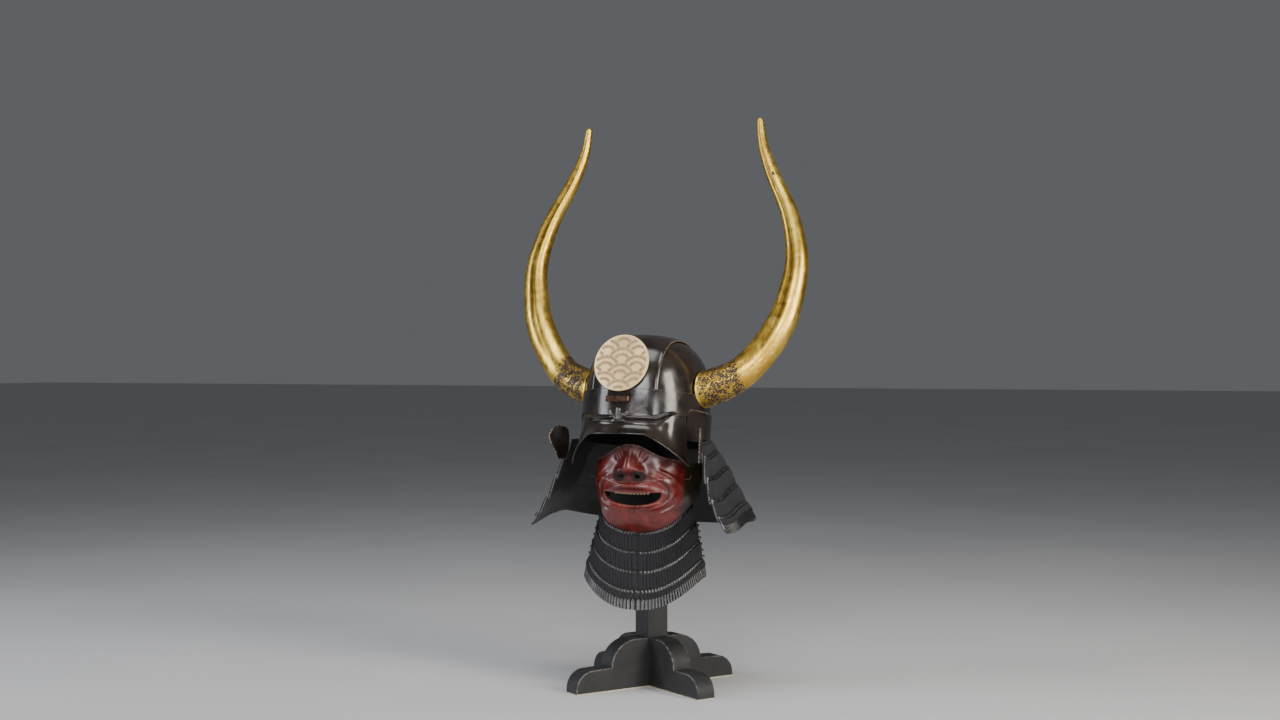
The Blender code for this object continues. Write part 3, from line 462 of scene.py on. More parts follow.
def gold_leaf(name: str, wear: float) -> Paint:
    """Gold leaf on carved wood: soft metal shine, seams between leaves, painted shade in the groove, rubbed to black
    lacquer at the root.

    Args:
        name: the finish's name.
        wear: how much of the root's band is rubbed through, from 0 to 1.

    Returns:
        The finish.
    """
    cloud = Cloud(0.040, 4.0, (1.0, 1.0, 0.4))
    away = Mark("root_distance")
    band = Sum("MULTIPLY", Eased(away, 0.0020, 0.0060), Eased(away, 0.066, 0.084, 1.0, 0.0))
    blotch = Sum("ADD", Sum("MULTIPLY", Cloud(0.0090, 6.0), 0.40), Sum("MULTIPLY", Cloud(0.0023, 5.0), 0.60))
    limit = Eased(band, 0.0, 1.0, 0.70, 0.492 - 0.030 * wear)
    bare = Eased(Sum("SUBTRACT", blotch, limit), -0.006, 0.020)
    bare = Sum("MAXIMUM", bare, Eased(Mark("chip"), 0.45, 0.60))
    dull = Eased(Cloud(0.012, 6.0), 0.30, 0.70, 0.28, 0.42)
    coats = (
        ("#c9a03e", Eased(cloud, 0.30, 0.70)),
        ("#f6e28e", Eased(Cloud(0.009, 5.0), 0.52, 0.80, 0.0, 0.55)),
        ("#a0752e", Eased(LeafSeams(0.030), 0.0, 0.04, 0.16, 0.0)),
        # Painted shade along the horn's groove
        ("#5e431b", Sum("MULTIPLY", Mark("groove"), Eased(cloud, 0.3, 0.6, 0.35, 0.85))),
        ("#94702c", Sum("MULTIPLY", band, 0.45)),
        (Blend(Eased(Cloud(0.004), 0.4, 0.6), "#17110d", "#3a2716"), bare),
    )
    surface = {
        "Roughness": Eased(bare, 0.0, 1.0, dull, 0.50),
        "Metallic": Sum("SUBTRACT", 1.0, Sum("MULTIPLY", bare, 0.92)),
    }
    relief = ((Cloud(0.020, 3.0, (1.0, 1.0, 0.18)), 0.0011), (Cloud(0.0035, 4.0), 0.00012),
              (Sum("SUBTRACT", 1.0, bare), 0.00018))
    return Paint(name, "#ecca5e", coats, surface, relief)


def stand_paint() -> Paint:
    """Thin matt black paint on wood: the grain shows, with pale rubbed edges."""
    grain = Cloud(0.0022, 4.0, (1.0, 1.0, 0.08))
    rubbed = Sum("MULTIPLY", Mark("edge"), Eased(Cloud(0.006, 5.0), 0.3, 0.65, 0.4, 1.3))
    coats = (
        ("#1b1b1c", Eased(Cloud(0.030, 4.0), 0.3, 0.7)),
        ("#3a3836", Eased(grain, 0.58, 0.75, 0.0, 0.5)),
        ("#66645f", Eased(rubbed, 0.50, 0.85, 0.0, 0.7)),
    )
    dull = Eased(Cloud(0.010, 5.0), 0.3, 0.7, 0.48, 0.64)
    return Paint("matt_black_paint_on_wood", "#252526", coats, {"Roughness": dull}, ((grain, 0.00010),))


SILK_FUZZ = Cloud(0.0012, 4.0)
SILK_THREADS = Threads(0.0011)

PAINTS = {
    # Brown-black lacquer on the bowl's iron plates: deep gloss, warm rubbed seams
    "brown": lacquer("brown_black_urushi_lacquer", "#28211d", "#15110f", "#715f4d", (0.15, 0.26), 0.30),
    # Black lacquer on the rows' scales: duller, with grey heads that are partly rubbed and partly a painted highlight
    "black": lacquer("black_urushi_lacquer", "#151518", "#09090b", "#5a5a60", (0.24, 0.40), 0.22),
    "red": red_lacquer(),
    "gold_left": gold_leaf("gold_leaf_on_wood", 0.45),
    "gold_right": gold_leaf("gold_leaf_rubbed_dark", 1.0),
    # Flat braided silk, dark blue faded to grey: a matt herringbone with stray fibres, painted shade where it tucks in
    "silk": Paint(
        "faded_indigo_silk_braid", "#0e0e14",
        (
            ("#07070b", Eased(Cloud(0.020, 4.0), 0.30, 0.70)),
            ("#2c2e3a", Eased(SILK_FUZZ, 0.52, 0.72, 0.0, 0.6)),
            # Painted shade in the troughs between the threads
            ("#0c0c11", Eased(SILK_THREADS, -1.0, 0.0, 0.5, 0.0)),
            # Near-black painted shade where the braid tucks in
            ("#040406", Eased(Mark("tuck"), 0.15, 0.95, 0.0, 0.85)),
        ),
        {"Roughness": 0.74, "Sheen Weight": 0.05, "Sheen Roughness": 0.40},
        ((SILK_THREADS, 0.00012), (SILK_FUZZ, 0.00025)),
    ),
    # Pale gilding on the crest: softly mottled cream, brighter on its rubbed rim
    "crest": Paint(
        "pale_gilding_on_crest", "#f0d3a2",
        (
            ("#e2bf88", Eased(Cloud(0.018, 4.0), 0.3, 0.7)),
            ("#a97f4c", Eased(Cloud(0.0020, 4.0), 0.62, 0.80, 0.0, 0.5)),
            ("#f2d9a4", Eased(Mark("edge"), 0.5, 0.9, 0.0, 0.8)),
        ),
        {"Roughness": Eased(Cloud(0.006, 4.0), 0.3, 0.7, 0.38, 0.52), "Metallic": 0.35},
        ((Cloud(0.0030, 4.0), 0.00008),),
    ),
    # Dull grey gold of the wave pattern: hardly any shine
    "waves": Paint(
        "dull_grey_gold_waves", "#b39a74", (("#957d5b", Eased(Cloud(0.005, 4.0), 0.35, 0.65)),),
        {"Roughness": 0.55, "Metallic": 0.30}, ((Cloud(0.0018), 0.00006),),
    ),
    # Brown copper: patinated, with brighter rubbed spots
    "copper": Paint(
        "brown_patinated_copper", "#5e4438",
        (("#37261f", Eased(Cloud(0.006, 5.0), 0.35, 0.65)), ("#93705a", Eased(Cloud(0.0025, 4.0), 0.58, 0.75))),
        {"Roughness": Eased(Cloud(0.004), 0.3, 0.7, 0.34, 0.52), "Metallic": 0.85},
        ((Cloud(0.0020, 4.0), 0.00010),),
    ),
    # Thin old gilding on the teeth: pale, dull and blotched
    "teeth": Paint(
        "pale_gilding_on_teeth", "#a8966f", (("#6f5c3c", Eased(Cloud(0.0020, 4.0), 0.4, 0.7)),),
        {"Roughness": 0.42, "Metallic": 0.25},
    ),
    "stand": stand_paint(),
    # Pale bare wood: fine flat grain
    "wood": Paint(
        "unpainted_pale_wood", "#cdc2a8", (("#b3a686", Eased(Cloud(0.0015, 4.0, (0.08, 0.08, 1.0)), 0.35, 0.65)),),
        {"Roughness": 0.65},
    ),
    # Pale matt floor: almost even
    "floor": Paint("pale_matt_floor", "#c9cacb", (("#c4c5c7", Eased(Cloud(0.6, 2.0), 0.3, 0.7)),),
                   {"Roughness": 0.75}),
}


# Mesh tools

def new_mesh(*marks: str) -> bmesh.types.BMesh:
    """An empty mesh with a flat map and a number at each point for each mark."""
    bm = bmesh.new()
    bm.loops.layers.uv.new("UVMap")
    for name in marks:
        bm.verts.layers.float.new(name)
    return bm


def new_verts(made: dict) -> list[bmesh.types.BMVert]:
    """The vertices among what an operator has made."""
    return [item for item in made["geom"] if isinstance(item, bmesh.types.BMVert)]


def sheet(bm: bmesh.types.BMesh, surface: Surface, columns: int, rows: int, marks: dict[str, Amount] | None = None,
          flat: Callable[[float, float], tuple[float, float]] | None = None) -> list[bmesh.types.BMVert]:
    """Lays a grid over a surface of two shares.

    Args:
        bm: the mesh that it joins.
        surface: the surface.
        columns: cells across.
        rows: cells down.
        marks: a number for each point, by mark, from the two shares.
        flat: the point's place on the flat map, from the two shares.

    Returns:
        The grid's vertices, row by row.
    """
    made = bmesh.ops.create_grid(bm, x_segments=columns, y_segments=rows, size=0.5)["verts"]
    layer = bm.loops.layers.uv["UVMap"]
    stores = [(bm.verts.layers.float[name], amount) for name, amount in (marks or {}).items()]
    for number, vert in enumerate(made):
        row, column = divmod(number, columns + 1)
        across, down = column / columns, row / rows
        vert.co = surface(across, down)
        for store, amount in stores:
            vert[store] = amount(across, down)
        if flat is not None:
            place = flat(across, down)
            for loop in vert.link_loops:
                loop[layer].uv = place
    return made


@dataclass
class Wall:
    """A closed wall between an outer and an inner surface of two shares.

    Attributes:
        outer: the outer surface.
        inner: the inner surface.
        columns: cells across.
        rows: cells down.
        width: real length across, for the flat map and the rubbed edges.
        height: real length down.
        rubbed: which edges are rubbed: first and last column, first and last row.
        reach: how far from an edge the rubbing goes.
        marks: further numbers for each point, by mark, from the two shares.
    """

    outer: Surface
    inner: Surface
    columns: int
    rows: int
    width: float
    height: float
    rubbed: tuple[bool, bool, bool, bool] = (True, True, True, True)
    reach: float = 0.0016
    marks: dict[str, Amount] = field(default_factory=dict)

    def rubbing(self, across: float, down: float) -> float:
        """How near a point is to a rubbed edge, from 0 to 1."""
        gaps = (across * self.width, (1.0 - across) * self.width, down * self.height, (1.0 - down) * self.height)
        near = [gap for gap, wanted in zip(gaps, self.rubbed) if wanted]
        return hump(min(near) / self.reach) if near else 0.0

    def build(self) -> bmesh.types.BMesh:
        """Makes the closed mesh: the outer surface, extruded onto the inner one."""
        marks = {"edge": self.rubbing, **self.marks}
        bm = new_mesh("inside", *marks)
        order = bm.verts.layers.int.new("order")
        made = sheet(bm, self.outer, self.columns, self.rows, marks,
                     lambda across, down: (across * self.width, down * self.height))
        for number, vert in enumerate(made):
            vert[order] = number
        inside = bm.verts.layers.float["inside"]
        for vert in new_verts(bmesh.ops.extrude_face_region(bm, geom=bm.faces[:], use_keep_orig=True)):
            row, column = divmod(vert[order], self.columns + 1)
            vert.co = self.inner(column / self.columns, row / self.rows)
            # marks the inner surface, which the lacquers darken with painted shade
            vert[inside] = 1.0
        bm.verts.layers.int.remove(order)
        return bm


def tube(bm: bmesh.types.BMesh, path: list[Vector], radius: float, sides: int = 12, ends: float = 1.0) -> None:
    """Extrudes a round section along a path and closes both ends.

    Args:
        bm: the mesh that it joins, which has the mark "edge".
        path: the points that its middle follows.
        radius: half its width.
        sides: faces round it.
        ends: share of the radius left at both ends.
    """
    store = bm.verts.layers.float["edge"]
    lift = Vector((0.0, 0.0, 1.0))
    last = len(path) - 1
    rim: list[bmesh.types.BMEdge] = []
    before = Matrix()
    for number, middle in enumerate(path):
        heading = (path[min(number + 1, last)] - path[max(number - 1, 0)]).normalized()
        side = heading.cross(lift)
        side = side.normalized() if side.length > 0.1 else Vector((1.0, 0.0, 0.0))
        turned = Matrix((heading.cross(side), side, heading)).transposed().to_4x4()
        size = radius * (ends if number in (0, last) else 1.0)
        place = Matrix.Translation(middle) @ turned @ Matrix.Scale(size, 4)
        if number == 0:
            ring = bmesh.ops.create_circle(bm, cap_ends=True, segments=sides, radius=1.0)["verts"]
            rim = list(dict.fromkeys(edge for vert in ring for edge in vert.link_edges))
        else:
            grown = bmesh.ops.extrude_edge_only(bm, edges=rim)
            ring = new_verts(grown)
            rim = [item for item in grown["geom"] if isinstance(item, bmesh.types.BMEdge)]
        bmesh.ops.transform(bm, matrix=place @ before.inverted(), verts=ring)
        before = place
        for vert in ring:
            vert[store] = 0.40
    bmesh.ops.holes_fill(bm, edges=rim, sides=0)


def extrude_outline(outline: list[tuple[float, float]], depth: float) -> bmesh.types.BMesh:
    """Closes an outline in X and Z into a solid along +Y.

    Args:
        outline: its corners.
        depth: its thickness.

    Returns:
        The mesh.
    """
    bm = new_mesh("edge")
    face = bm.faces.new([bm.verts.new((x, 0.0, z)) for x, z in outline])
    moved = new_verts(bmesh.ops.extrude_face_region(bm, geom=[face], use_keep_orig=True))
    bmesh.ops.translate(bm, verts=moved, vec=(0.0, depth, 0.0))
    bmesh.ops.recalc_face_normals(bm, faces=bm.faces)
    return bm


def round_rims(bm: bmesh.types.BMesh, depth: float, bevel: float) -> None:
    """Rounds both rims of an extruded outline and marks them as rubbed.

    Args:
        bm: the solid.
        depth: its thickness along +Y.
        bevel: how far its rims are rounded.
    """
    store = bm.verts.layers.float["edge"]
    rims = [edge for edge in bm.edges if abs(edge.verts[0].co.y - edge.verts[1].co.y) < depth / 2.0]
    made = bmesh.ops.bevel(bm, geom=rims, offset=bevel, segments=3, affect="EDGES", profile=0.5, clamp_overlap=True,
                           material=-1)
    for vert in made["verts"]:
        vert[store] = 0.8
    sides = sorted(bm.faces, key=lambda item: item.calc_area())[-2:]
    bmesh.ops.inset_individual(bm, faces=sides, thickness=bevel * 1.5)
    for side in sides:
        for vert in side.verts:
            vert[store] = 0.0
    margin = bevel * 2.5
    if depth > margin * 2.0:
        for level in (margin, depth - margin):
            every = bm.verts[:] + bm.edges[:] + bm.faces[:]
            bmesh.ops.bisect_plane(bm, geom=every, plane_co=(0.0, level, 0.0), plane_no=(0.0, 1.0, 0.0))
        for vert in bm.verts:
            if margin * 0.9 < vert.co.y < depth - margin * 0.9:
                vert[store] = 0.0


@dataclass
class Builder:
    """Adds finished pieces to the scene and holds their materials."""

    paints: dict[str, bpy.types.Material]

    def add(self, name: str, bm: bmesh.types.BMesh, paint: str, slot: str, replaces: tuple[str, ...] = (),
            angle: float = 38.0, place: Matrix | None = None) -> bpy.types.Object:
        """Turns a mesh into a piece that rides on the part's one body.

        Args:
            name: the piece's plain name.
            bm: its mesh, which is used up.
            paint: the key of its material.
            slot: not used.
            replaces: CAD nodes that it stands for.
            angle: edges sharper than this, in degrees, stay sharp.
            place: a frame to move the mesh into first.

        Returns:
            The piece.
        """
        if place is not None:
            bmesh.ops.transform(bm, matrix=place, verts=bm.verts)
        bmesh.ops.recalc_face_normals(bm, faces=bm.faces)
        mesh = bpy.data.meshes.new(name)
        bm.to_mesh(mesh)
        bm.free()
        mesh.shade_smooth()
        mesh.set_sharp_from_angle(angle=math.radians(angle))
        mesh.materials.append(self.paints[paint])
        piece = bpy.data.objects.new(name, mesh)
        bpy.context.scene.collection.objects.link(piece)
        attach(piece, "root")
        if replaces:
            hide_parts(*replaces)
        LOG.info("%s: %d faces", name, len(mesh.polygons))
        return piece

    def cut(self, piece: bpy.types.Object, helpers: list[bmesh.types.BMesh], angle: float = 38.0) -> None:
        """Takes helper shapes out of a piece for good.

        Args:
            piece: the piece to cut.
            helpers: closed shapes in world space, which are used up.
            angle: edges sharper than this, in degrees, stay sharp.
        """
        for number, bm in enumerate(helpers):
            bmesh.ops.recalc_face_normals(bm, faces=bm.faces)
            mesh = bpy.data.meshes.new("cutter")
            bm.to_mesh(mesh)
            bm.free()
            helper = bpy.data.objects.new("cutter", mesh)
            bpy.context.scene.collection.objects.link(helper)
            modifier = piece.modifiers.new(f"cut_{number}", "BOOLEAN")
            modifier.operation = "DIFFERENCE"
            modifier.solver = "EXACT"
            modifier.object = helper
            bpy.context.view_layer.update()
            graph = bpy.context.evaluated_depsgraph_get()
            done = bpy.data.meshes.new_from_object(piece.evaluated_get(graph), depsgraph=graph)
            done.name = piece.name
            piece.modifiers.remove(modifier)
            piece.data = done
            bpy.data.objects.remove(helper, do_unlink=True)
        piece.data.shade_smooth()
        piece.data.set_sharp_from_angle(angle=math.radians(angle))

    def keep(self, node: str, paint: str) -> None:
        """Gives a CAD node whose shape is right its finish, in its own slots."""
        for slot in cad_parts[node].material_slots:
            slot.material = self.paints[paint]
        LOG.info("%s keeps its solid", node)


# Bowl and plates

@dataclass
class BowlForm:
    """The bowl's surface and the sizes of the plates that follow it; heights are over the bowl's rim."""

    half_width: float = 0.111
    half_depth: float = 0.120
    height: float = 0.132
    roundness: float = 2.8
    plate_wall: float = 0.0020
    temple_turn: float = math.radians(62.6)
    brow_top: float = 0.027
    brow_drop: float = 0.031
    brow_temple_drop: float = 0.014
    brow_step_start: float = math.radians(38.0)
    brow_step_spread: float = math.radians(12.0)
    brow_end_spread: float = math.radians(4.5)
    relief: float = 0.0045
    bar_half: float = 0.0042
    bar_inner: float = 0.010
    bar_outer: float = 0.085
    bar_low: float = 0.0245
    bar_tip_rise: float = 0.013
    keel: float = 0.0016
    knot: float = 0.0017
    band_drop: float = 0.055
    visor_level_turn: float = math.radians(24.0)
    visor_drop: float = 0.0515
    visor_temple_drop: float = 0.048

    def share(self, height: float, grown: float) -> float:
        """How much of its rim's width the bowl still has at this height."""
        level = min(max(height / (self.height + grown), 0.0), 1.0)
        return (1.0 - level**self.roundness) ** (1.0 / self.roundness)

    def ring(self, turn: float, height: float, grown: float) -> Vector:
        """A point beside the bowl's rim, grown outwards."""
        width, depth = self.half_width + grown, self.half_depth + grown
        return Vector((width * math.sin(turn), -depth * math.cos(turn), height))

    def dome(self, turn: float, height: float, grown: float) -> Vector:
        """A point of the bowl's surface at a turn from the front and a height."""
        share = self.share(height, grown)
        point = self.ring(turn, height, grown)
        return Vector((point.x * share, point.y * share, height))

    def over_the_top(self, across: float, turn: float, grown: float) -> Vector:
        """A point of the grown surface at a set distance from the middle line, found by halving."""
        side = abs(across) / (self.half_width + grown)
        low, high = 0.0, 1.2
        for _ in range(30):
            reach = (low + high) / 2.0
            level = math.hypot(side, reach * math.cos(turn)) ** self.roundness
            level += (reach * math.sin(turn)) ** self.roundness
            low, high = (reach, high) if level < 1.0 else (low, reach)
        back = -(self.half_depth + grown) * low * math.cos(turn)
        return Vector((across, back, (self.height + grown) * low * math.sin(turn)))

    def turn_at_height(self, across: float, height: float, grown: float) -> float:
        """How far over the bowl a line beside the middle reaches a height on the front."""
        front = math.sqrt(self.share(height, grown) ** 2 - (across / (self.half_width + grown)) ** 2)
        return math.atan2(height / (self.height + grown), front)

    def brow_lower(self, turn: float) -> float:
        """Height of the brow plate's lower edge."""
        turn = abs(turn)
        rise = (self.brow_drop - self.brow_temple_drop) * smooth((turn - self.brow_step_start) / self.brow_step_spread)
        end = smooth((turn - self.temple_turn) / self.brow_end_spread + 0.25)
        return -self.brow_drop + rise + self.brow_temple_drop * end

    def visor_rim(self, turn: float) -> float:
        """Height of the visor's rim."""
        share = (abs(turn) - self.visor_level_turn) / (self.temple_turn - self.visor_level_turn)
        return -self.visor_drop - self.visor_temple_drop * max(share, 0.0) ** 1.15

    def brow_relief(self, turn: float, height: float) -> float:
        """How far the brow plate is hammered out: the eyebrows, the knot between them and its keel."""
        across = abs(math.sin(turn)) * self.half_width
        share = (across - self.bar_inner) / (self.bar_outer - self.bar_inner)
        middle = -self.bar_low + self.bar_tip_rise * smooth((share - 0.62) / 0.42)
        raised = smooth((share + 0.08) / 0.14) * smooth((1.04 - share) / 0.16)
        level = (height - middle) / (self.bar_half * (0.55 + 0.45 * raised))
        relief = self.relief * raised * (hump((level - 0.45) / 0.62) - 0.30 * hump((level + 0.95) / 0.40))
        keel = smooth((height + self.brow_drop) / 0.006) * smooth((-0.004 - height) / 0.006)
        relief += self.keel * hump(across / 0.0026) * keel
        leaf = hump((across - 0.0045 - 0.62 * (height + 0.027)) / 0.0022)
        return relief + self.knot * leaf * smooth((height + 0.030) / 0.006) * smooth((-0.010 - height) / 0.008)


@dataclass
class BowlAndPlates:
    """The bowl, its top plate, brow plate, side band and visor."""

    builder: Builder
    form: BowlForm
    bowl_wall: float = 0.0020
    skirt: float = 0.008
    top_half_width: float = 0.062
    top_wall: float = 0.0016
    top_gap: float = 0.0011
    top_foot: float = 0.004
    top_lip: float = 0.0009
    brow_end: float = math.radians(78.0)
    band_start: float = math.radians(63.0)
    visor_wall: float = 0.0018
    visor_tuck: float = 0.006
    visor_neck: float = 0.0015
    visor_flare: float = 0.015
    visor_bead: float = 0.0013
    seam_reach: float = 0.0009

    def add(self, name: str, bm: bmesh.types.BMesh, *replaces: str) -> None:
        """Adds one brown piece."""
        self.builder.add(name, bm, "brown", "brown_lacquer", replaces, place=HELMET_PLACE)

    def build(self) -> None:
        """Makes the five pieces and the visor's bead."""
        self.bowl()
        self.top_plate()
        self.brow_plate()
        self.side_band()
        self.visor()

    def bowl(self) -> None:
        """The bowl as one wall, from its skirt over its crown."""
        def surface(grown: float) -> Surface:
            def point(across: float, down: float) -> Vector:
                rise = math.cos(down * math.pi / 2.0)
                height = -self.skirt + (self.form.height + grown + self.skirt) * rise
                return self.form.dome(across * math.tau, height, grown)
            return point

        wall = Wall(surface(0.0), surface(-self.bowl_wall), 120, 40, 0.72, 0.20, (False, False, False, True))
        bm = wall.build()
        bmesh.ops.remove_doubles(bm, verts=bm.verts, dist=0.00002)
        self.add("bowl", bm, "bowl_shell")

    def top_plate(self) -> None:
        """The plate over the bowl, with a low rolled edge."""
        def surface(grown: float, roll: float) -> Surface:
            def point(across: float, down: float) -> Vector:
                side = (2.0 * across - 1.0) * self.top_half_width
                start = self.form.turn_at_height(side, self.form.brow_top + GAP * 2.0, grown)
                end = math.pi - self.form.turn_at_height(side, self.top_foot, grown)
                lip = roll * hump((self.top_half_width - abs(side) - 0.0012) / 0.0013)
                return self.form.over_the_top(side, start + (end - start) * down, grown + lip)
            return point

        outer = surface(self.top_gap + self.top_wall, self.top_lip)
        wall = Wall(outer, surface(self.top_gap, 0.0), 96, 72, self.top_half_width * 2.0, 0.40,
                    (True, True, False, False), self.seam_reach)
        self.add("top_plate_skin", wall.build(), "top_plate")

    def brow_plate(self) -> None:
        """The brow plate with its hammered eyebrows."""
        form = self.form

        def surface(extra: float, outer: bool) -> Surface:
            def point(across: float, down: float) -> Vector:
                turn = (2.0 * across - 1.0) * self.brow_end
                height = form.brow_top + (form.brow_lower(turn) - form.brow_top) * down
                relief = form.brow_relief(turn, height)
                relief = relief if outer else max(relief, 0.0)
                pulled = (form.half_width + FACET_GAP) * (form.share(height, FACET_GAP) - 1.0)
                return form.ring(turn, height, FACET_GAP + extra + relief + pulled)
            return point

        wall = Wall(surface(form.plate_wall, True), surface(0.0, False), 260, 64, 0.30, 0.058,
                    (False, False, True, False), self.seam_reach)
        self.add("brow_plate_skin", wall.build(), "brow_plate")

    def side_band(self) -> None:
        """The plate round the sides and back."""
        def surface(extra: float) -> Surface:
            def point(across: float, down: float) -> Vector:
                turn = self.band_start + (math.tau - 2.0 * self.band_start) * across
                top = self.form.brow_lower(min(turn, math.tau - turn)) - GAP
                return self.form.ring(turn, top + (-self.form.band_drop - top) * down, FACET_GAP + extra)
            return point

        wall = Wall(surface(self.form.plate_wall), surface(0.0), 150, 12, 0.48, 0.055,
                    (False, False, True, False), self.seam_reach)
        self.add("side_band_skin", wall.build(), "side_band")

    def visor(self) -> None:
        """The flared visor and the bead along its rim."""
        form = self.form

        def surface(extra: float) -> Surface:
            def point(across: float, down: float) -> Vector:
                turn = (2.0 * across - 1.0) * form.temple_turn
                top = min(form.brow_lower(turn) + self.visor_tuck, -self.skirt - FACET_GAP)
                neck = form.brow_lower(turn) - self.visor_neck
                if down < 0.2:
                    return form.ring(turn, top + (neck - top) * down / 0.2, -extra)
                share = (down - 0.2) / 0.8
                height = neck + (form.visor_rim(turn) - neck) * share
                return form.ring(turn, height, self.visor_flare * share**1.6 - extra)
            return point

        wall = Wall(surface(0.0), surface(self.visor_wall), 160, 20, 0.27, 0.045, (False,) * 4)
        self.add("visor_skin", wall.build(), "visor")
        path = []
        for step in range(121):
            turn = (2.0 * step / 120 - 1.0) * form.temple_turn * 0.995
            path.append(form.ring(turn, form.visor_rim(turn), self.visor_flare - self.visor_wall / 2.0))
        bm = new_mesh("edge")
        tube(bm, path, self.visor_bead, 10)
        self.add("visor_bead", bm)


# Horns

@dataclass
class Horn:
    """One gilt horn with a rubbed band at its root."""

    builder: Builder
    form: BowlForm
    side: Side
    root: Vector = field(default_factory=lambda: Vector((0.098, -0.010, 0.036)))
    run: Vector = field(default_factory=lambda: Vector((0.158, 0.055, 0.499)))
    width: float = 0.068
    tip_round: float = 0.7
    hidden_root: float = 0.030
    groove_turn: float = 4.55
    groove_depth: float = 0.055
    chip_place: float = 0.79
    chip_turn: float = 4.4
    sides: int = 56
    rings: int = 150
    tip_rings: int = 10

    def axis(self, share: float) -> tuple[Vector, float]:
        """Middle and half width of the horn at a share of its stations, on a smooth curve through them."""
        last = len(HORN_STATIONS) - 1
        index = min(int(share * last), last - 1)
        local = share * last - index
        picked = [HORN_STATIONS[min(max(index + step, 0), last)] for step in (-1, 0, 1, 2)]
        values = []
        for before, start, end, after in zip(*picked):
            values.append(0.5 * (
                2.0 * start
                + (end - before) * local
                + (2.0 * before - 5.0 * start + 4.0 * end - after) * local**2
                + (3.0 * start - before - 3.0 * end + after) * local**3
            ))
        out, back, up, width = values
        return self.root + Vector((self.run.x * out, self.run.y * back, self.run.z * up)), self.width * width / 2.0

    def sections(self) -> list[tuple[Vector, Vector, Vector, float]]:
        """Each ring's middle, its two half axes and how far along the horn it lies, with a rounded tip."""
        found = []
        travelled = 0.0
        before = None
        for number in range(self.rings + self.tip_rings + 1):
            share = min(number / self.rings, 1.0)
            middle, radius = self.axis(share)
            heading = (self.axis(min(share + 0.004, 1.0))[0] - self.axis(max(share - 0.004, 0.0))[0]).normalized()
            if number > self.rings:
                angle = (number - self.rings) / self.tip_rings * math.pi / 2.0 * 0.97
                middle = middle + heading * (radius * self.tip_round * math.sin(angle))
                radius = radius * math.cos(angle)
            travelled += (middle - before).length if before is not None else 0.0
            before = middle
            across = heading.cross(Vector((0.0, 1.0, 0.0))).normalized()
            found.append((middle, across * radius, across.cross(heading) * radius, travelled))
        return found

    def build(self) -> None:
        """Makes the horn, softly ridged along its length, and seats its root on the plates."""
        rows = self.rings + self.tip_rings
        sections = self.sections()

        def place(across: float, down: float) -> tuple[float, float]:
            """The turn round the horn and the share along it."""
            return math.tau * (across % 1.0), min(round(down * rows) / self.rings, 1.0)

        def groove(across: float, down: float) -> float:
            turn, share = place(across, down)
            near = hump(math.sin((turn - self.groove_turn - share * 0.5) / 2.0) / 0.09)
            return near * smooth((share - 0.20) / 0.25) * smooth((1.0 - share) * 4.0)

        def spot(across: float, down: float) -> Vector:
            turn, share = place(across, down)
            crease = 0.985 + 0.022 * math.cos(turn * 3.0 + share * 4.0) * smooth(share * 3.0)
            crease -= self.groove_depth * groove(across, down)
            middle, side, lift, _ = sections[round(down * rows)]
            return middle + (side * math.cos(turn) + lift * math.sin(turn)) * crease

        def surface(across: float, down: float) -> Vector:
            point = spot(across, down)
            return Vector((point.x * self.side.value, point.y, point.z))

        def root_distance(across: float, down: float) -> float:
            travelled = sections[round(down * rows)][3]
            return max(self.above_bowl(spot(across, down)), travelled - self.hidden_root)

        def chip(across: float, down: float) -> float:
            turn, share = place(across, down)
            near = hump((share - self.chip_place) / 0.006) * hump((turn - self.chip_turn) / 0.35)
            return near * (self.side is Side.LEFT)

        bm = new_mesh("edge", "groove", "root_distance", "chip")
        sheet(bm, surface, self.sides, rows, {"groove": groove, "root_distance": root_distance, "chip": chip})
        bmesh.ops.remove_doubles(bm, verts=bm.verts, dist=0.000002)
        bmesh.ops.holes_fill(bm, edges=[edge for edge in bm.edges if edge.is_boundary], sides=0)
        name = f"horn_{self.side.name.lower()}"
        paint = f"gold_{self.side.name.lower()}"
        piece = self.builder.add(f"{name}_gilt", bm, paint, "gilt_wood", (name,), place=HELMET_PLACE)
        self.builder.cut(piece, [self.seat()])

    def above_bowl(self, spot: Vector) -> float:
        """About how far a point lies outside the plates' surface."""
        level = math.hypot(spot.x / self.form.half_width, spot.y / self.form.half_depth) - self.form.share(spot.z, 0.0)
        return level * self.form.half_width - self.form.plate_wall

    def seat(self) -> bmesh.types.BMesh:
        """The plates' outer surface as a closed shape that cuts the horn's root."""
        grown = FACET_GAP + self.form.plate_wall + GAP * 2.0
        low = -self.form.band_drop

        def surface(across: float, down: float) -> Vector:
            height = low + (self.form.height + grown - low) * math.sin(down * math.pi / 2.0)
            return self.form.dome(math.tau * (across % 1.0), height, grown)

        bm = new_mesh()
        sheet(bm, surface, 96, 40)
        bmesh.ops.remove_doubles(bm, verts=bm.verts, dist=0.00001)
        bmesh.ops.holes_fill(bm, edges=[edge for edge in bm.edges if edge.is_boundary], sides=0)
        bmesh.ops.transform(bm, matrix=HELMET_PLACE, verts=bm.verts)
        return bm


# Crest

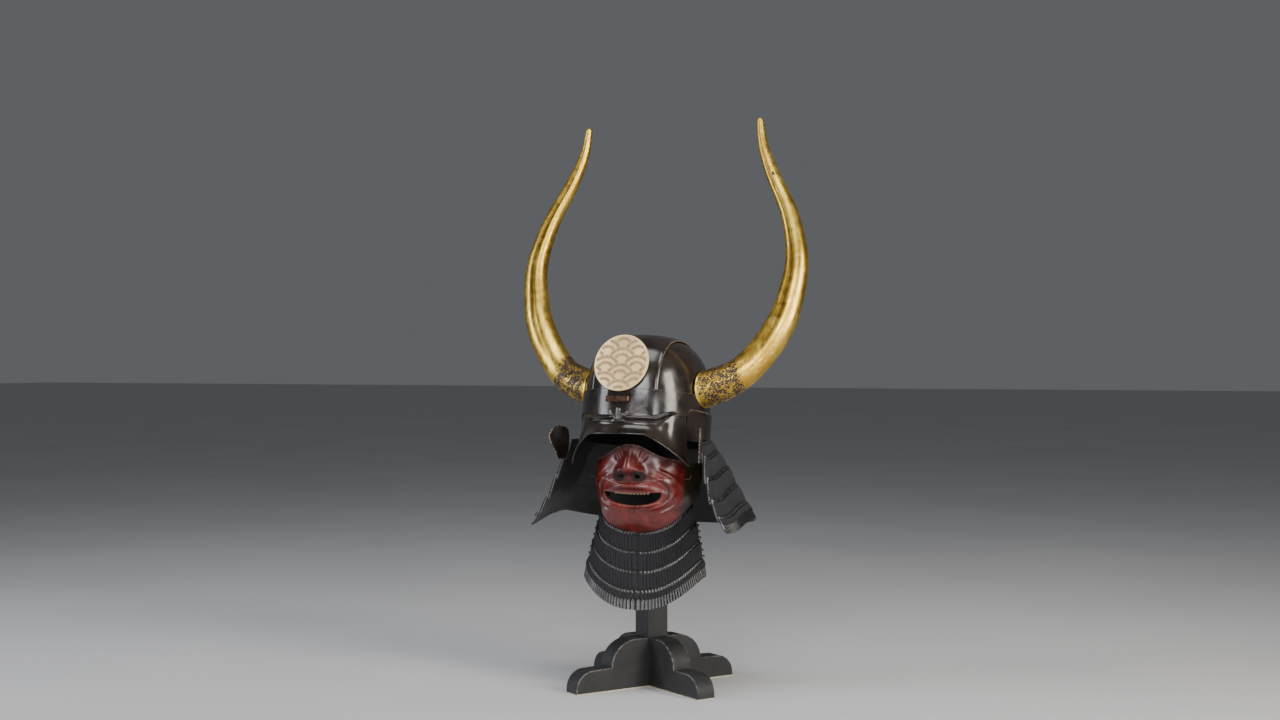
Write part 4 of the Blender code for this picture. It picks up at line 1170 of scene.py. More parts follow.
@dataclass
class Crest:
    """The round crest with its wave pattern, and the bar and prongs that carry it."""

    builder: Builder
    form: BowlForm
    radius: float = 0.0505
    wall: float = 0.0045
    rim: float = 0.0025
    sunk: float = 0.0008
    lean: float = math.radians(10.0)
    centre_z: float = 0.0715
    prong_wall: float = 0.0030
    wave_radius: float = 0.0290
    wave_raise: float = 0.00045
    wave_bands: tuple[tuple[float, float], ...] = ((0.78, 0.96), (0.42, 0.60))
    wave_cells: int = 90
    sides: int = 120

    def place(self) -> Matrix:
        """The frame of the crest's face, on its leaning plane."""
        contact = self.form.half_depth + FACET_GAP + self.form.plate_wall + GAP
        ahead = self.prong_wall + GAP + self.wall
        y = -contact - (self.form.brow_top - self.centre_z) * math.tan(self.lean) - ahead
        return HELMET_PLACE @ Matrix.Translation((0.0, y, self.centre_z)) @ Matrix.Rotation(-self.lean, 4, "X")

    def build(self) -> None:
        """Makes the disc and its waves, and paints the holder."""
        self.disc()
        self.waves()
        self.builder.keep("crest_bar", "copper")
        self.builder.keep("crest_prongs", "brown")

    def disc(self) -> None:
        """A turned disc with a rounded raised rim."""
        profile = (
            # in from the edge, depth from the front
            (self.radius, self.sunk), (self.rim * 1.3, self.sunk), (self.rim, 0.0003), (self.rim * 0.6, 0.0),
            (0.0006, 0.0002), (0.0, 0.0010), (0.0, self.wall - 0.0008), (0.0008, self.wall), (self.radius, self.wall),
        )
        bm = new_mesh("edge")
        edge = bm.verts.layers.float["edge"]
        for inward, depth in profile:
            vert = bm.verts.new((0.0, depth, self.radius - inward))
            vert[edge] = 1.0 if inward < self.rim * 1.1 else 0.0
        bm.verts.ensure_lookup_table()
        for first, second in zip(bm.verts[:], bm.verts[1:]):
            bm.edges.new((first, second))
        bmesh.ops.spin(bm, geom=bm.verts[:] + bm.edges[:], cent=(0.0, 0.0, 0.0), axis=(0.0, 1.0, 0.0),
                       angle=math.tau, steps=self.sides, use_merge=True)
        bmesh.ops.remove_doubles(bm, verts=bm.verts, dist=0.000002)
        self.builder.add("crest_disc_gilt", bm, "crest", "cream_gold", ("crest_disc",), place=self.place())

    def waves(self) -> None:
        """Overlapping wave arcs in low relief: each hides what lies behind it, and the rim ends them."""
        step = self.wave_radius * 0.5
        limit = self.radius - self.rim * 1.6
        centres = [Vector((self.wave_radius * (column + 0.5 * (row % 2)) * 2.0, step * row))
                   for row in range(-8, 8) for column in range(-3, 4)]

        def shown(spot: Vector, own: Vector) -> bool:
            """Whether the wave round its own centre is the one in front here."""
            if spot.length > limit or spot.y < own.y - step * 0.2:
                return False
            return not any(c.y < own.y - 0.001 and (spot - c).length < self.wave_radius and spot.y > c.y - step
                           for c in centres)

        bm = new_mesh("edge")
        for own in centres:
            for inner, outer in self.wave_bands:
                def arc(across: float, down: float, own: Vector = own, inner: float = inner,
                        outer: float = outer) -> Vector:
                    reach = self.wave_radius * (inner + (outer - inner) * down)
                    turn = math.pi * across
                    return Vector((own.x + reach * math.cos(turn), self.sunk - self.wave_raise,
                                   own.y + reach * math.sin(turn)))

                made = sheet(bm, arc, self.wave_cells, 1)
                faces = dict.fromkeys(face for vert in made for face in vert.link_faces)
                hidden = [face for face in faces if not shown(face.calc_center_median().xz, own)]
                bmesh.ops.delete(bm, geom=hidden, context="FACES")
        backs = new_verts(bmesh.ops.extrude_face_region(bm, geom=bm.faces[:], use_keep_orig=True))
        bmesh.ops.translate(bm, verts=backs, vec=(0.0, self.wave_raise + 0.0002, 0.0))
        self.builder.add("crest_waves", bm, "waves", "cream_gold", place=self.place())


# Laced guards

@dataclass
class LacedRow:
    """One row of scales and the braids that lie on it.

    Attributes:
        name: the row's name, with its guard's.
        point: the row's surface from a share across, a drop and a growth outwards.
        fall: the row's visible height.
        length: its length along its lower edge.
        lace_end: share of the fall where the braids end.
        foot: how far down the wall reaches, with its tucked foot.
        wall: the wall's thickness.
        ribbed: whether the scales show as ribs below the braids.
        pitch: width of a scale and of its braid.
        rib: how far scales stand out.
        skip: bare height above the braids.
        corner: radius of the last row's front corners.
        braid_wall: a braid's thickness.
        braid_lift: clearance below its edges.
    """

    name: str
    point: Callable[[float, float, float], Vector]
    fall: float
    length: float
    lace_end: float
    foot: float
    wall: float
    ribbed: bool
    pitch: float = 0.0055
    rib: float = 0.0005
    skip: float = 0.005
    corner: float = 0.009
    braid_wall: float = 0.0019
    braid_lift: float = 0.0005

    def scales(self) -> int:
        """How many scales the row has."""
        return max(int(self.length / self.pitch), 8)

    def crown(self, across: float) -> float:
        """How far a point is up the round of its scale, from 0 to 1."""
        return math.sqrt(abs(math.sin(math.pi * across * self.scales())))

    def reach(self, across: float) -> float:
        """How far down the wall goes here: the last row's front corners are rounded."""
        corner = min(across, 1.0 - across) * self.length / self.corner
        if not self.ribbed or corner >= 1.0:
            return self.foot
        return self.foot - (1.0 - math.sqrt(1.0 - (1.0 - corner) ** 2)) * self.corner / self.fall

    def plate(self) -> bmesh.types.BMesh:
        """The row's wall, with a scalloped top of scale heads and ribs where it is bare."""
        skip = self.skip / self.fall

        def outer(across: float, down: float) -> Vector:
            drop = self.reach(across) * down
            heads = smooth((skip - drop) / (skip * 0.4) + 0.6)
            bare = smooth((drop - self.lace_end) / 0.04) if self.ribbed else 0.0
            raised = self.rib * (self.crown(across) - 0.6) * max(heads * 1.2, bare * 3.0)
            spot = self.point(across, drop, raised)
            if down == 0.0:
                spot.z += self.rib * 2.0 * (self.crown(across) - 0.8)
            return spot

        def inner(across: float, down: float) -> Vector:
            return self.point(across, self.reach(across) * down, -self.wall)

        def rubbing(across: float, down: float) -> float:
            drop = self.foot * down
            # Grey ticks on the scales' heads: partly rubbed, partly a painted highlight
            head_rub_and_highlight = hump((drop - skip * 0.35) / (skip * 0.75)) * self.crown(across) ** 6
            ends = hump(min(across, 1.0 - across) * self.length / 0.0022)
            foot = hump((self.foot - drop) * self.fall / 0.0016) if self.ribbed else 0.0
            return max(head_rub_and_highlight * 0.92, ends, foot * 0.7)

        rows = 22 if self.ribbed else 14
        return Wall(outer, inner, self.scales() * 8, rows, self.length, self.fall * self.foot,
                    marks={"edge": rubbing}).build()

    def braids(self) -> bmesh.types.BMesh:
        """The row's flat silk braids, side by side, each crowned and a little uneven."""
        count = self.scales()
        start = self.skip / self.fall * 0.92
        bm = new_mesh("tuck")
        chance = random.Random(self.name)

        # Painted shade near both ends of each braid, where it tucks in
        def tuck(_: float, down: float) -> float:
            return max(hump(down / 0.10), hump((1.0 - down) / 0.16))

        for number in range(count):
            middle = (number + 0.5) / count + chance.uniform(-0.04, 0.04) / count
            half = 0.5 / count * chance.uniform(1.02, 1.09)
            thick = self.braid_wall * chance.uniform(0.75, 1.15)
            end = self.lace_end + chance.uniform(-0.02, 0.012)
            lean = chance.uniform(-0.06, 0.06) / count

            def surface(across: float, down: float) -> Vector:
                side = 2.0 * across - 1.0
                swell = thick * (0.35 + 0.65 * math.sin(math.pi * min(max(down, 0.03), 0.97)) ** 0.45)
                crown = swell * (1.0 - abs(side) ** 2.6)
                place = middle + half * side * (0.97 + 0.03 * math.sin(down * 9.0 + number)) + lean * down
                return self.point(min(max(place, 0.0), 1.0), start + (end - start) * down, self.braid_lift + crown)

            def flat(across: float, down: float) -> tuple[float, float]:
                drop = start + (end - start) * down
                return (across - 0.5) * self.pitch, drop * self.fall + number * 0.0004

            sheet(bm, surface, 6, 8, {"tuck": tuck}, flat)
        return bm


@dataclass
class LacedGuard:
    """Rows of laced scales that hang below each other.

    Attributes:
        builder: adds its pieces.
        wall: thickness of a row.
        tuck: how far a row's foot reaches behind the next.
        last_lace: share of the last row that its braids cover.
    """

    builder: Builder
    wall: float
    tuck: float = 0.009
    last_lace: float = 0.45

    def starts(self) -> tuple[float, ...]:
        """Where each row starts, as shares of the way down, and where the last one ends."""
        raise NotImplementedError

    def drop(self) -> float:
        """The guard's height."""
        raise NotImplementedError

    def point(self, share: float, level: float, grown: float) -> Vector:
        """A point of the guard, from the wearer's right front corner to the left, at a share of its way down."""
        raise NotImplementedError

    def fall(self, number: int) -> float:
        """How far down one row reaches, before its tucked foot."""
        return (self.starts()[number + 1] - self.starts()[number]) * self.drop()

    def row_point(self, number: int, share: float, drop: float, grown: float) -> Vector:
        """A point of one row: its top lies outside the row above, and its foot tucks behind the row below."""
        tucked = grown - self.wall - FACET_GAP
        if drop > 1.0:
            return self.row_point(number + 1, share, (drop - 1.0) * self.fall(number) / self.fall(number + 1), tucked)
        starts = self.starts()
        last = number == len(starts) - 2
        upper = self.point(share, starts[number], grown)
        return upper.lerp(self.point(share, starts[number + 1], grown if last else tucked), drop)

    def rows(self, name: str, place: Matrix | None = None) -> None:
        """Makes the rows and their braids.

        Args:
            name: the guard's name.
            place: a frame to move them into.
        """
        count = len(self.starts()) - 1
        for number in range(count):
            last = number == count - 1

            def point(share: float, drop: float, grown: float, number: int = number) -> Vector:
                return self.row_point(number, share, drop, grown)

            steps = [point(k / 60, 1.0, 0.0) for k in range(61)]
            length = sum((b - a).length for a, b in zip(steps, steps[1:]))
            foot = 1.0 if last else 1.0 + self.tuck / self.fall(number)
            label = f"{name}_{number + 1}"
            row = LacedRow(label, point, self.fall(number), length, self.last_lace if last else 1.0, foot,
                           self.wall, last)
            self.builder.add(f"{name}_scales_{number + 1}", row.plate(), "black", "black_lacquer",
                             (f"{name}_lame_{number + 1}",), 50.0, place)
            self.builder.add(f"{name}_braids_{number + 1}", row.braids(), "silk", "dark_lacing",
                             (f"{name}_lacing_{number + 1}",), 60.0, place)


@dataclass
class NeckGuard(LacedGuard):
    """Five laced rows that flare to the front corners, and two turned-back ear flaps."""

    form: BowlForm = field(default_factory=BowlForm)
    wall: float = 0.0030
    top: float = 0.046
    bottom: float = 0.175
    half_width: float = 0.189
    back: float = 0.208
    top_front: float = -0.048
    front: float = -0.062
    centre: float = 0.034
    front_reach: float = 0.191
    front_droop: float = 0.036
    back_droop: float = 0.009
    corner_flare: float = 0.016
    corner_turn: float = math.radians(77.0)
    roundness: float = 2.3
    flap_length: float = 0.053
    flap_height: float = 0.060
    flap_wall: float = 0.0025
    flap_cup: float = 0.006
    flap_level: float = 0.06
    flap_rise: float = 0.002
    flap_turn: float = math.radians(12.0)

    def starts(self) -> tuple[float, ...]:
        """The rows' starts from their table."""
        return tuple(row[0] for row in NECK_STATIONS)

    def drop(self) -> float:
        """The height from the first row's top to the last one's foot."""
        return self.bottom - self.top

    def point(self, share: float, level: float, grown: float) -> Vector:
        """A point of the guard, which rounds out towards its foot and droops at its front corners."""
        top_grown = FACET_GAP * 2.0 + self.form.plate_wall + self.wall
        out, back_out = along(NECK_STATIONS, level, 1), along(NECK_STATIONS, level, 2)
        width, depth = self.form.half_width + top_grown, self.form.half_depth + top_grown
        centre = self.centre * out
        width += (self.half_width - width) * out
        back_depth = depth + (self.back - depth) * back_out - centre
        front_depth = depth + (self.front_reach - depth) * out
        roundness = 2.0 + (self.roundness - 2.0) * out
        limit = self.top_front + (self.front - self.top_front) * smooth((level - 0.20) / 0.20)
        reach = min((centre - limit) / (front_depth + grown), 0.9)
        swing = math.pi / 2.0 + math.asin(reach ** (roundness / 2.0))
        turn = (2.0 * share - 1.0) * swing
        side = power(math.sin(turn), 2.0 / roundness)
        back = power(math.cos(turn), 2.0 / roundness)
        toward = smooth((abs(turn) - self.corner_turn) / (swing - self.corner_turn))
        droop = self.front_droop * toward + self.back_droop * smooth(back)
        height = -self.top - self.drop() * level - droop * min(1.0, 0.25 + 1.6 * level)
        flare = self.corner_flare * toward**2
        along_y = centre + ((back_depth if back > 0.0 else front_depth) + grown) * back
        return Vector(((width + flare + grown) * side, along_y, height))

    def build(self) -> None:
        """Makes the rows, their braids and the ear flaps."""
        self.rows("neck", HELMET_PLACE)
        for side in Side:
            self.flap(side)

    def flap(self, side: Side) -> None:
        """One ear flap: a cupped leaf with a rounded rim."""
        outline = []
        for step in range(96):
            turn = math.tau * step / 96
            rise = math.sin(turn)
            taper = 0.24 + 0.76 * smooth((rise + 1.0) / 1.5)
            reach = math.cos(turn) * taper if math.cos(turn) > 0.0 else -abs(math.cos(turn)) ** 0.35
            outline.append((self.flap_length / 2.0 * (reach + 1.0), self.flap_height / 2.0 * rise))
        bm = extrude_outline(outline, self.flap_wall)
        round_rims(bm, self.flap_wall, self.flap_wall * 0.4)
        bmesh.ops.triangulate(bm, faces=[face for face in bm.faces if len(face.verts) > 20])
        long_edges = [edge for edge in bm.edges if edge.calc_length() > 0.006]
        bmesh.ops.subdivide_edges(bm, edges=long_edges, cuts=3, use_grid_fill=True)
        corner = self.point(1.0, self.flap_level, -(self.wall - self.flap_wall) / 2.0)
        sine, cosine = math.sin(self.flap_turn), math.cos(self.flap_turn)
        root = Vector((corner.x, corner.y - GAP - self.flap_wall * sine, corner.z + self.flap_rise))
        for vert in bm.verts:
            cup = self.flap_cup * (vert.co.x / self.flap_length) ** 2
            outward = cup - vert.co.y
            offset = Vector((sine * vert.co.x + cosine * outward, sine * outward - cosine * vert.co.x, vert.co.z))
            placed = root + offset
            vert.co = (placed.x * side.value, placed.y, placed.z)
        name = f"ear_flap_{side.name.lower()}"
        self.builder.add(f"{name}_lacquered", bm, "brown", "black_lacquer", (name,), place=HELMET_PLACE)


# Mask

@dataclass
class FaceMask:
    """The red face mask with its open mouth and nostrils, teeth and cheek hooks."""

    builder: Builder
    half_width: float = 0.095
    centre_y: float = -0.005
    chin_z: float = 0.277
    height: float = 0.156
    depth: float = 0.093
    wall: float = 0.0022
    sweep: float = math.radians(98.0)
    nose_reach: float = 0.017
    nose_tip_rise: float = 0.013
    nose_half_width: float = 0.010
    nose_wing_reach: float = 0.007
    lip_reach: float = 0.0035
    fold_reach: float = 0.0035
    mouth_half_width: float = 0.054
    mouth_z: float = 0.277 + 0.073
    mouth_height: float = 0.024
    mouth_sag: float = 0.10
    nostril_width: float = 0.013
    nostril_height: float = 0.008
    nostril_x: float = 0.0155
    nostril_z: float = 0.277 + 0.1025
    tooth_height: float = 0.0045
    teeth_span: float = 0.62
    teeth_count: int = 11
    hook_wire: float = 0.0014
    hook_reach: float = 0.012
    hook_z: float = 0.277 + 0.095
    hook_turn: float = math.radians(62.0)

    def edges(self, turn: float) -> tuple[float, float]:
        """Heights of the mask's lower and upper edges at a turn from the front."""
        side = abs(turn) / self.sweep
        low = self.chin_z + self.height * (0.10 * smooth(side / 0.55) + 0.26 * smooth((side - 0.40) / 0.60))
        top = self.chin_z + self.height * (1.0 - 0.15 * smooth(side / 0.42) - 0.07 * smooth((side - 0.3) / 0.5))
        return low, top

    def around(self, across: float, height: float, wide: float, tall: float) -> float:
        """How far out from the mouth's middle a point is, on an oval so many times the mouth's size."""
        return math.hypot(across / (self.mouth_half_width * wide), height / (self.mouth_height * tall))

    def main_relief(self, across: float, height: float) -> float:
        """The solid's own relief: nose, wings, cheeks, lips, folds and chin."""
        tip = self.nostril_z + self.nose_tip_rise
        if height > tip:
            ridge = 1.0 - 0.72 * smooth((height - tip) / (self.chin_z + self.height - tip))
        else:
            ridge = 1.0 - smooth((tip - height) / (self.nose_tip_rise * 1.3))
        width = self.nose_half_width * (1.0 + 0.6 * hump((height - tip) / (self.nose_tip_rise * 1.2)))
        relief = self.nose_reach * ridge * hump(across / width)
        wing_out = hump((abs(across) - self.nostril_x * 1.25) / (self.nostril_width * 0.62))
        wing_up = hump((height - self.nostril_z - self.nostril_height * 0.5) / (self.nostril_height * 1.1))
        relief += self.nose_wing_reach * wing_out * wing_up
        for middle, spread, up, tall, reach in MASK_SWELLINGS:
            beside = hump((abs(across) / self.half_width - middle) / spread)
            relief += self.nose_reach * reach * beside * hump(((height - self.chin_z) / self.height - up) / tall)
        from_lips = self.around(across, height - self.mouth_z + self.mouth_height * 0.45, 1.06, 0.85)
        relief += self.lip_reach * hump((from_lips - 1.0) / 0.20)
        fold = self.around(across, height - self.mouth_z, 1.3, 1.42)
        beside = smooth((abs(across) / self.mouth_half_width - 0.37) / 0.46)
        return relief + self.fold_reach * hump((fold - 1.0) / 0.14) * beside

    def lip_line(self, across: float, height: float) -> float:
        """Nearness to the thin ridge that runs above the upper lip and out over the cheeks, from 0 to 1."""
        side = abs(across) / 0.047
        line = self.mouth_z + 0.0125 + 0.0105 * min(side, 1.6) ** 2 * (1.0 - 0.20 * min(side, 1.6))
        return hump((height - line) / 0.0014) * smooth((1.45 - side) / 0.3)

    def mouth_rim(self, across: float, height: float) -> float:
        """Nearness to the thin bead round the mouth, from 0 to 1."""
        share = min(abs(across) / self.mouth_half_width, 1.0)
        lower = self.mouth_z - self.mouth_height * math.sqrt(1.0 - share**2) ** 0.8
        upper = self.mouth_z - self.mouth_height * self.mouth_sag * (1.0 - share**2)
        away = height - upper - 0.0014 if height > (lower + upper) / 2.0 else lower - 0.0016 - height
        return hump(math.hypot(away, max(abs(across) - self.mouth_half_width, 0.0)) / 0.0015)

    def wrinkles(self, across: float, height: float) -> float:
        """Creases that fan out from the nose's bridge, and the second fold beside the mouth."""
        up = (height - self.nostril_z) / (self.chin_z + self.height - self.nostril_z)
        fan = math.atan2(abs(across) - 0.006, (up - 0.15) * 0.045 + 0.004)
        area = smooth((abs(across) - 0.007) / 0.006) * smooth((0.040 - abs(across)) / 0.014)
        lines = 0.0007 * math.sin(fan * 15.0) * area * smooth((up - 0.30) / 0.25)
        share = abs(across) / self.mouth_half_width
        fold = self.around(across, height - self.mouth_z, 1.52, 1.95)
        lines += 0.0022 * hump((fold - 1.0) / 0.060) * smooth((share - 0.75) / 0.35)
        outer = self.around(across, height - self.mouth_z, 1.13, 1.20)
        return lines - 0.0012 * hump((outer - 1.06) / 0.05) * smooth((share - 0.70) / 0.3)

    def point(self, turn: float, height: float, deeper: float, fine: bool = True) -> Vector:
        """A point of the mask's surface, or of the surface inside it."""
        place = (height - self.chin_z) / self.height
        wide = self.half_width * along_curve(MASK_STATIONS, place, 1)
        deep = self.depth * along_curve(MASK_STATIONS, place, 2)
        bend = 2.0 / along_curve(MASK_STATIONS, place, 3)
        side, front = power(math.sin(turn), bend), power(math.cos(turn), bend)
        across = wide * side
        relief = self.main_relief(across, height)
        if fine:
            relief += 1.3 * self.wrinkles(across, height) + 0.0015 * self.lip_line(across, height)
            relief += 0.0011 * self.mouth_rim(across, height)
        push = relief * smooth(math.cos(turn) / 0.35) - deeper
        return Vector(((wide + push) * side, self.centre_y - (deep + push) * front, height))

    def place(self, across: float, down: float) -> tuple[float, float]:
        """Turn and height of a share of the mask's grid, from its top to its chin."""
        swing = 2.0 * across - 1.0
        turn = self.sweep * (0.8 * swing + 0.2 * swing**3)
        low, top = self.edges(turn)
        return turn, top + (low - top) * down

    def ridge(self, across: float, down: float) -> float:
        """How rubbed a point is: rims, lip lines, the chin's worn mark, folds and the jaw's edge."""
        turn, height = self.place(across, down)
        side = self.half_width * math.sin(turn)
        rim = hump((self.edges(turn)[1] - height) / 0.0018)
        lines = max(self.lip_line(side, height), self.mouth_rim(side, height))
        worn_chin = hump((side - 0.002) / 0.011) * hump((height - self.mouth_z + 0.034) / 0.0025)
        fold = self.wrinkles(side, height) / 0.0022
        jaw_edge = hump((abs(math.degrees(turn)) - 66.0) / 1.6) * smooth((self.chin_z + 0.075 - height) / 0.02)
        return max(0.85 * rim, 0.80 * lines, 0.62 * worn_chin, 0.40 * fold, 0.75 * jaw_edge)

    def hollow(self, across: float, down: float) -> float:
        """Painted shade at a point: nostrils, below the nose, creases, below the visor and below the chin."""
        turn, height = self.place(across, down)
        side = self.half_width * math.sin(turn)
        low, top = self.edges(turn)
        beside = (abs(side) - self.nostril_x) / (self.nostril_width * 1.10)
        nostril = hump(math.hypot(beside, (height - self.nostril_z + 0.002) / 0.0105))
        under_nose = hump(side / 0.020) * hump((height - self.nostril_z + 0.011) / 0.005)
        crease = max(-self.wrinkles(side, height) / 0.0012, 0.0)
        # Painted shadow that the visor casts over the mask's top
        brow = smooth((height - top + 0.022) / 0.022)
        under_chin = smooth((low + 0.010 - height) / 0.012)
        return max(min(nostril * 1.3, 1.0), 0.55 * under_nose, 0.55 * crease, 0.60 * brow, 0.55 * under_chin)

    def jaw(self, across: float, down: float) -> float:
        """How dark the jaw behind the cheek is."""
        return smooth((abs(math.degrees(self.place(across, down)[0])) - 56.0) / 10.0)

    def build(self) -> None:
        """Makes the mask, its teeth and its hooks."""
        def surface(deeper: float, fine: bool) -> Surface:
            return lambda across, down: self.point(*self.place(across, down), deeper, fine)

        marks = {"ridge": self.ridge, "hollow": self.hollow, "jaw": self.jaw}
        wall = Wall(surface(0.0, True), surface(self.wall, False), 210, 130, 0.30, self.height, marks=marks)
        mask = self.builder.add("mask_red", wall.build(), "red", "red_lacquer", ("mask_face",), 45.0)
        self.builder.cut(mask, self.openings(), 45.0)
        self.teeth()
        for side in Side:
            self.hook(side)

    def openings(self) -> list[bmesh.types.BMesh]:
        """The mouth and the two nostrils as cutting shapes."""
        lips = []
        for step in range(33):
            share = -1.0 + 2.0 * step / 32
            sag = self.mouth_height * self.mouth_sag * (1.0 - share**2)
            lips.append((self.mouth_half_width * share, self.mouth_z - sag))
        for step in range(1, 40):
            turn = math.pi * step / 40
            low = self.mouth_height * math.sin(turn) ** 0.8
            lips.append((self.mouth_half_width * math.cos(turn), self.mouth_z - low))
        outlines = [lips]
        for side in Side:
            outlines.append([
                (self.nostril_x * side.value + self.nostril_width / 2.0 * math.cos(math.tau * k / 28),
                 self.nostril_z + self.nostril_height / 2.0 * (math.sin(math.tau * k / 28) - 0.5))
                for k in range(28)
            ])
        shapes = [extrude_outline(outline, self.depth) for outline in outlines]
        for bm in shapes:
            bmesh.ops.translate(bm, verts=bm.verts, vec=(0.0, -self.depth * 1.5, 0.0))
        return shapes

    def teeth(self) -> None:
        """A row of small upper teeth behind the mouth's upper edge."""
        bm = new_mesh("edge")
        pitch = self.mouth_half_width * self.teeth_span * 2.0 / self.teeth_count
        size = (pitch * 0.76, 0.0022, self.tooth_height * 1.45)
        for number in range(self.teeth_count):
            across = (number - (self.teeth_count - 1) / 2.0) * pitch
            turn = math.asin(across / self.half_width)
            levels = (self.mouth_z + self.tooth_height * k / 3.0 for k in range(-1, 4))
            back = max(self.point(turn, level, self.wall + FACET_GAP, False).y for level in levels)
            share = across / self.mouth_half_width
            edge_z = self.mouth_z - self.mouth_height * self.mouth_sag * (1.0 - share**2)
            spot = Vector((across, back + 0.0012, edge_z + self.tooth_height * 0.20))
            place = Matrix.Translation(spot) @ Matrix.Diagonal((*size, 1.0))
            bmesh.ops.create_cube(bm, size=1.0, matrix=place)
        bmesh.ops.bevel(bm, geom=bm.edges, offset=0.0008, segments=3, affect="EDGES", profile=0.5, material=-1)
        self.builder.add("teeth_row", bm, "teeth", "gilt_teeth", ("mask_teeth",))

    def hook(self, side: Side) -> None:
        """A wire hook that stands out of one cheek and turns up."""
        root = self.point(self.hook_turn, self.hook_z, -self.hook_wire * 0.9, False)
        path = []
        for step in range(25):
            share = step / 24
            out = 0.85 * min(share / 0.55, 1.0) + 0.20 * math.sin(max(share - 0.55, 0.0) / 0.45 * math.pi / 2.0)
            up = 0.62 * (1.0 - math.cos(max(share - 0.50, 0.0) / 0.50 * math.pi / 2.0))
            path.append(Vector(((root.x + self.hook_reach * out) * side.value, root.y,
                                root.z + self.hook_reach * up)))
        bm = new_mesh("edge")
        tube(bm, path, self.hook_wire, 12, 0.7)
        name = f"cheek_hook_{side.name.lower()}"
        self.builder.add(f"{name}_wire", bm, "copper", "copper", (name,))


@dataclass
class ThroatGuard(LacedGuard):
    """Four laced rows that hang from the mask's lower edge."""

    mask: FaceMask | None = None
    wall: float = 0.0025
    clear: float = 0.0008
    centre_y: float = -0.022
    half_width: float = 0.110
    depth: float = 0.088
    foot_z: float = 0.148
    foot_rise: float = 0.052
    foot_curve: float = 2.3
    twist: float = math.radians(12.0)
    sweep: float = math.radians(86.0)
    roundness: float = 2.4
    loop_radius: float = 0.0032
    loop_cord: float = 0.0010
    loop_count: int = 9

    def starts(self) -> tuple[float, ...]:
        """Four even rows."""
        return (0.0, 0.25, 0.5, 0.75, 1.0)

    def drop(self) -> float:
        """The height from the chin to the foot."""
        return self.mask.chin_z - self.foot_z

    def point(self, share: float, level: float, grown: float) -> Vector:
        """A point of the guard: its top follows the mask's lower edge, its foot hangs a little turned."""
        turn = (2.0 * share - 1.0) * self.sweep
        top = self.mask.point(turn, self.mask.edges(turn)[0], -grown, False)
        top.z -= self.clear
        side = (self.half_width + grown) * power(math.sin(turn), 2.0 / self.roundness)
        front = (self.depth + grown) * power(math.cos(turn), 2.0 / self.roundness)
        foot = Vector((
            side * math.cos(self.twist) + front * math.sin(self.twist),
            self.centre_y + side * math.sin(self.twist) - front * math.cos(self.twist),
            self.foot_z + self.foot_rise * (1.0 - max(math.cos(turn), 0.0) ** self.foot_curve),
        ))
        return top.lerp(foot, level)

    def build(self) -> None:
        """Makes the rows, their braids and the corded edges."""
        self.rows("throat")
        for side in Side:
            self.edge_loops(side)

    def edge_loops(self, side: Side) -> None:
        """The cord whipped over one front edge of the guard, in small loops."""
        share = 0.5 + side.value * 0.496
        bm = new_mesh("edge")
        for number in range(self.loop_count):
            level = 0.06 + 0.76 * number / self.loop_count
            middle = self.point(share, level, -self.wall / 2.0)
            outward = (self.point(share, level, 0.002) - middle).normalized()
            beyond = (middle - self.point(0.5 + side.value * 0.47, level, -self.wall / 2.0)).normalized()
            path = []
            for step in range(15):
                turn = math.tau * step / 14
                slope = Vector((0.0, 0.0, self.loop_radius * 0.9 * step / 14))
                path.append(middle + (outward * math.cos(turn) + beyond * math.sin(turn)) * self.loop_radius + slope)
            tube(bm, path, self.loop_cord, 8)
        self.builder.add(f"throat_edge_cord_{side.name.lower()}", bm, "silk", "dark_lacing")


# Stand

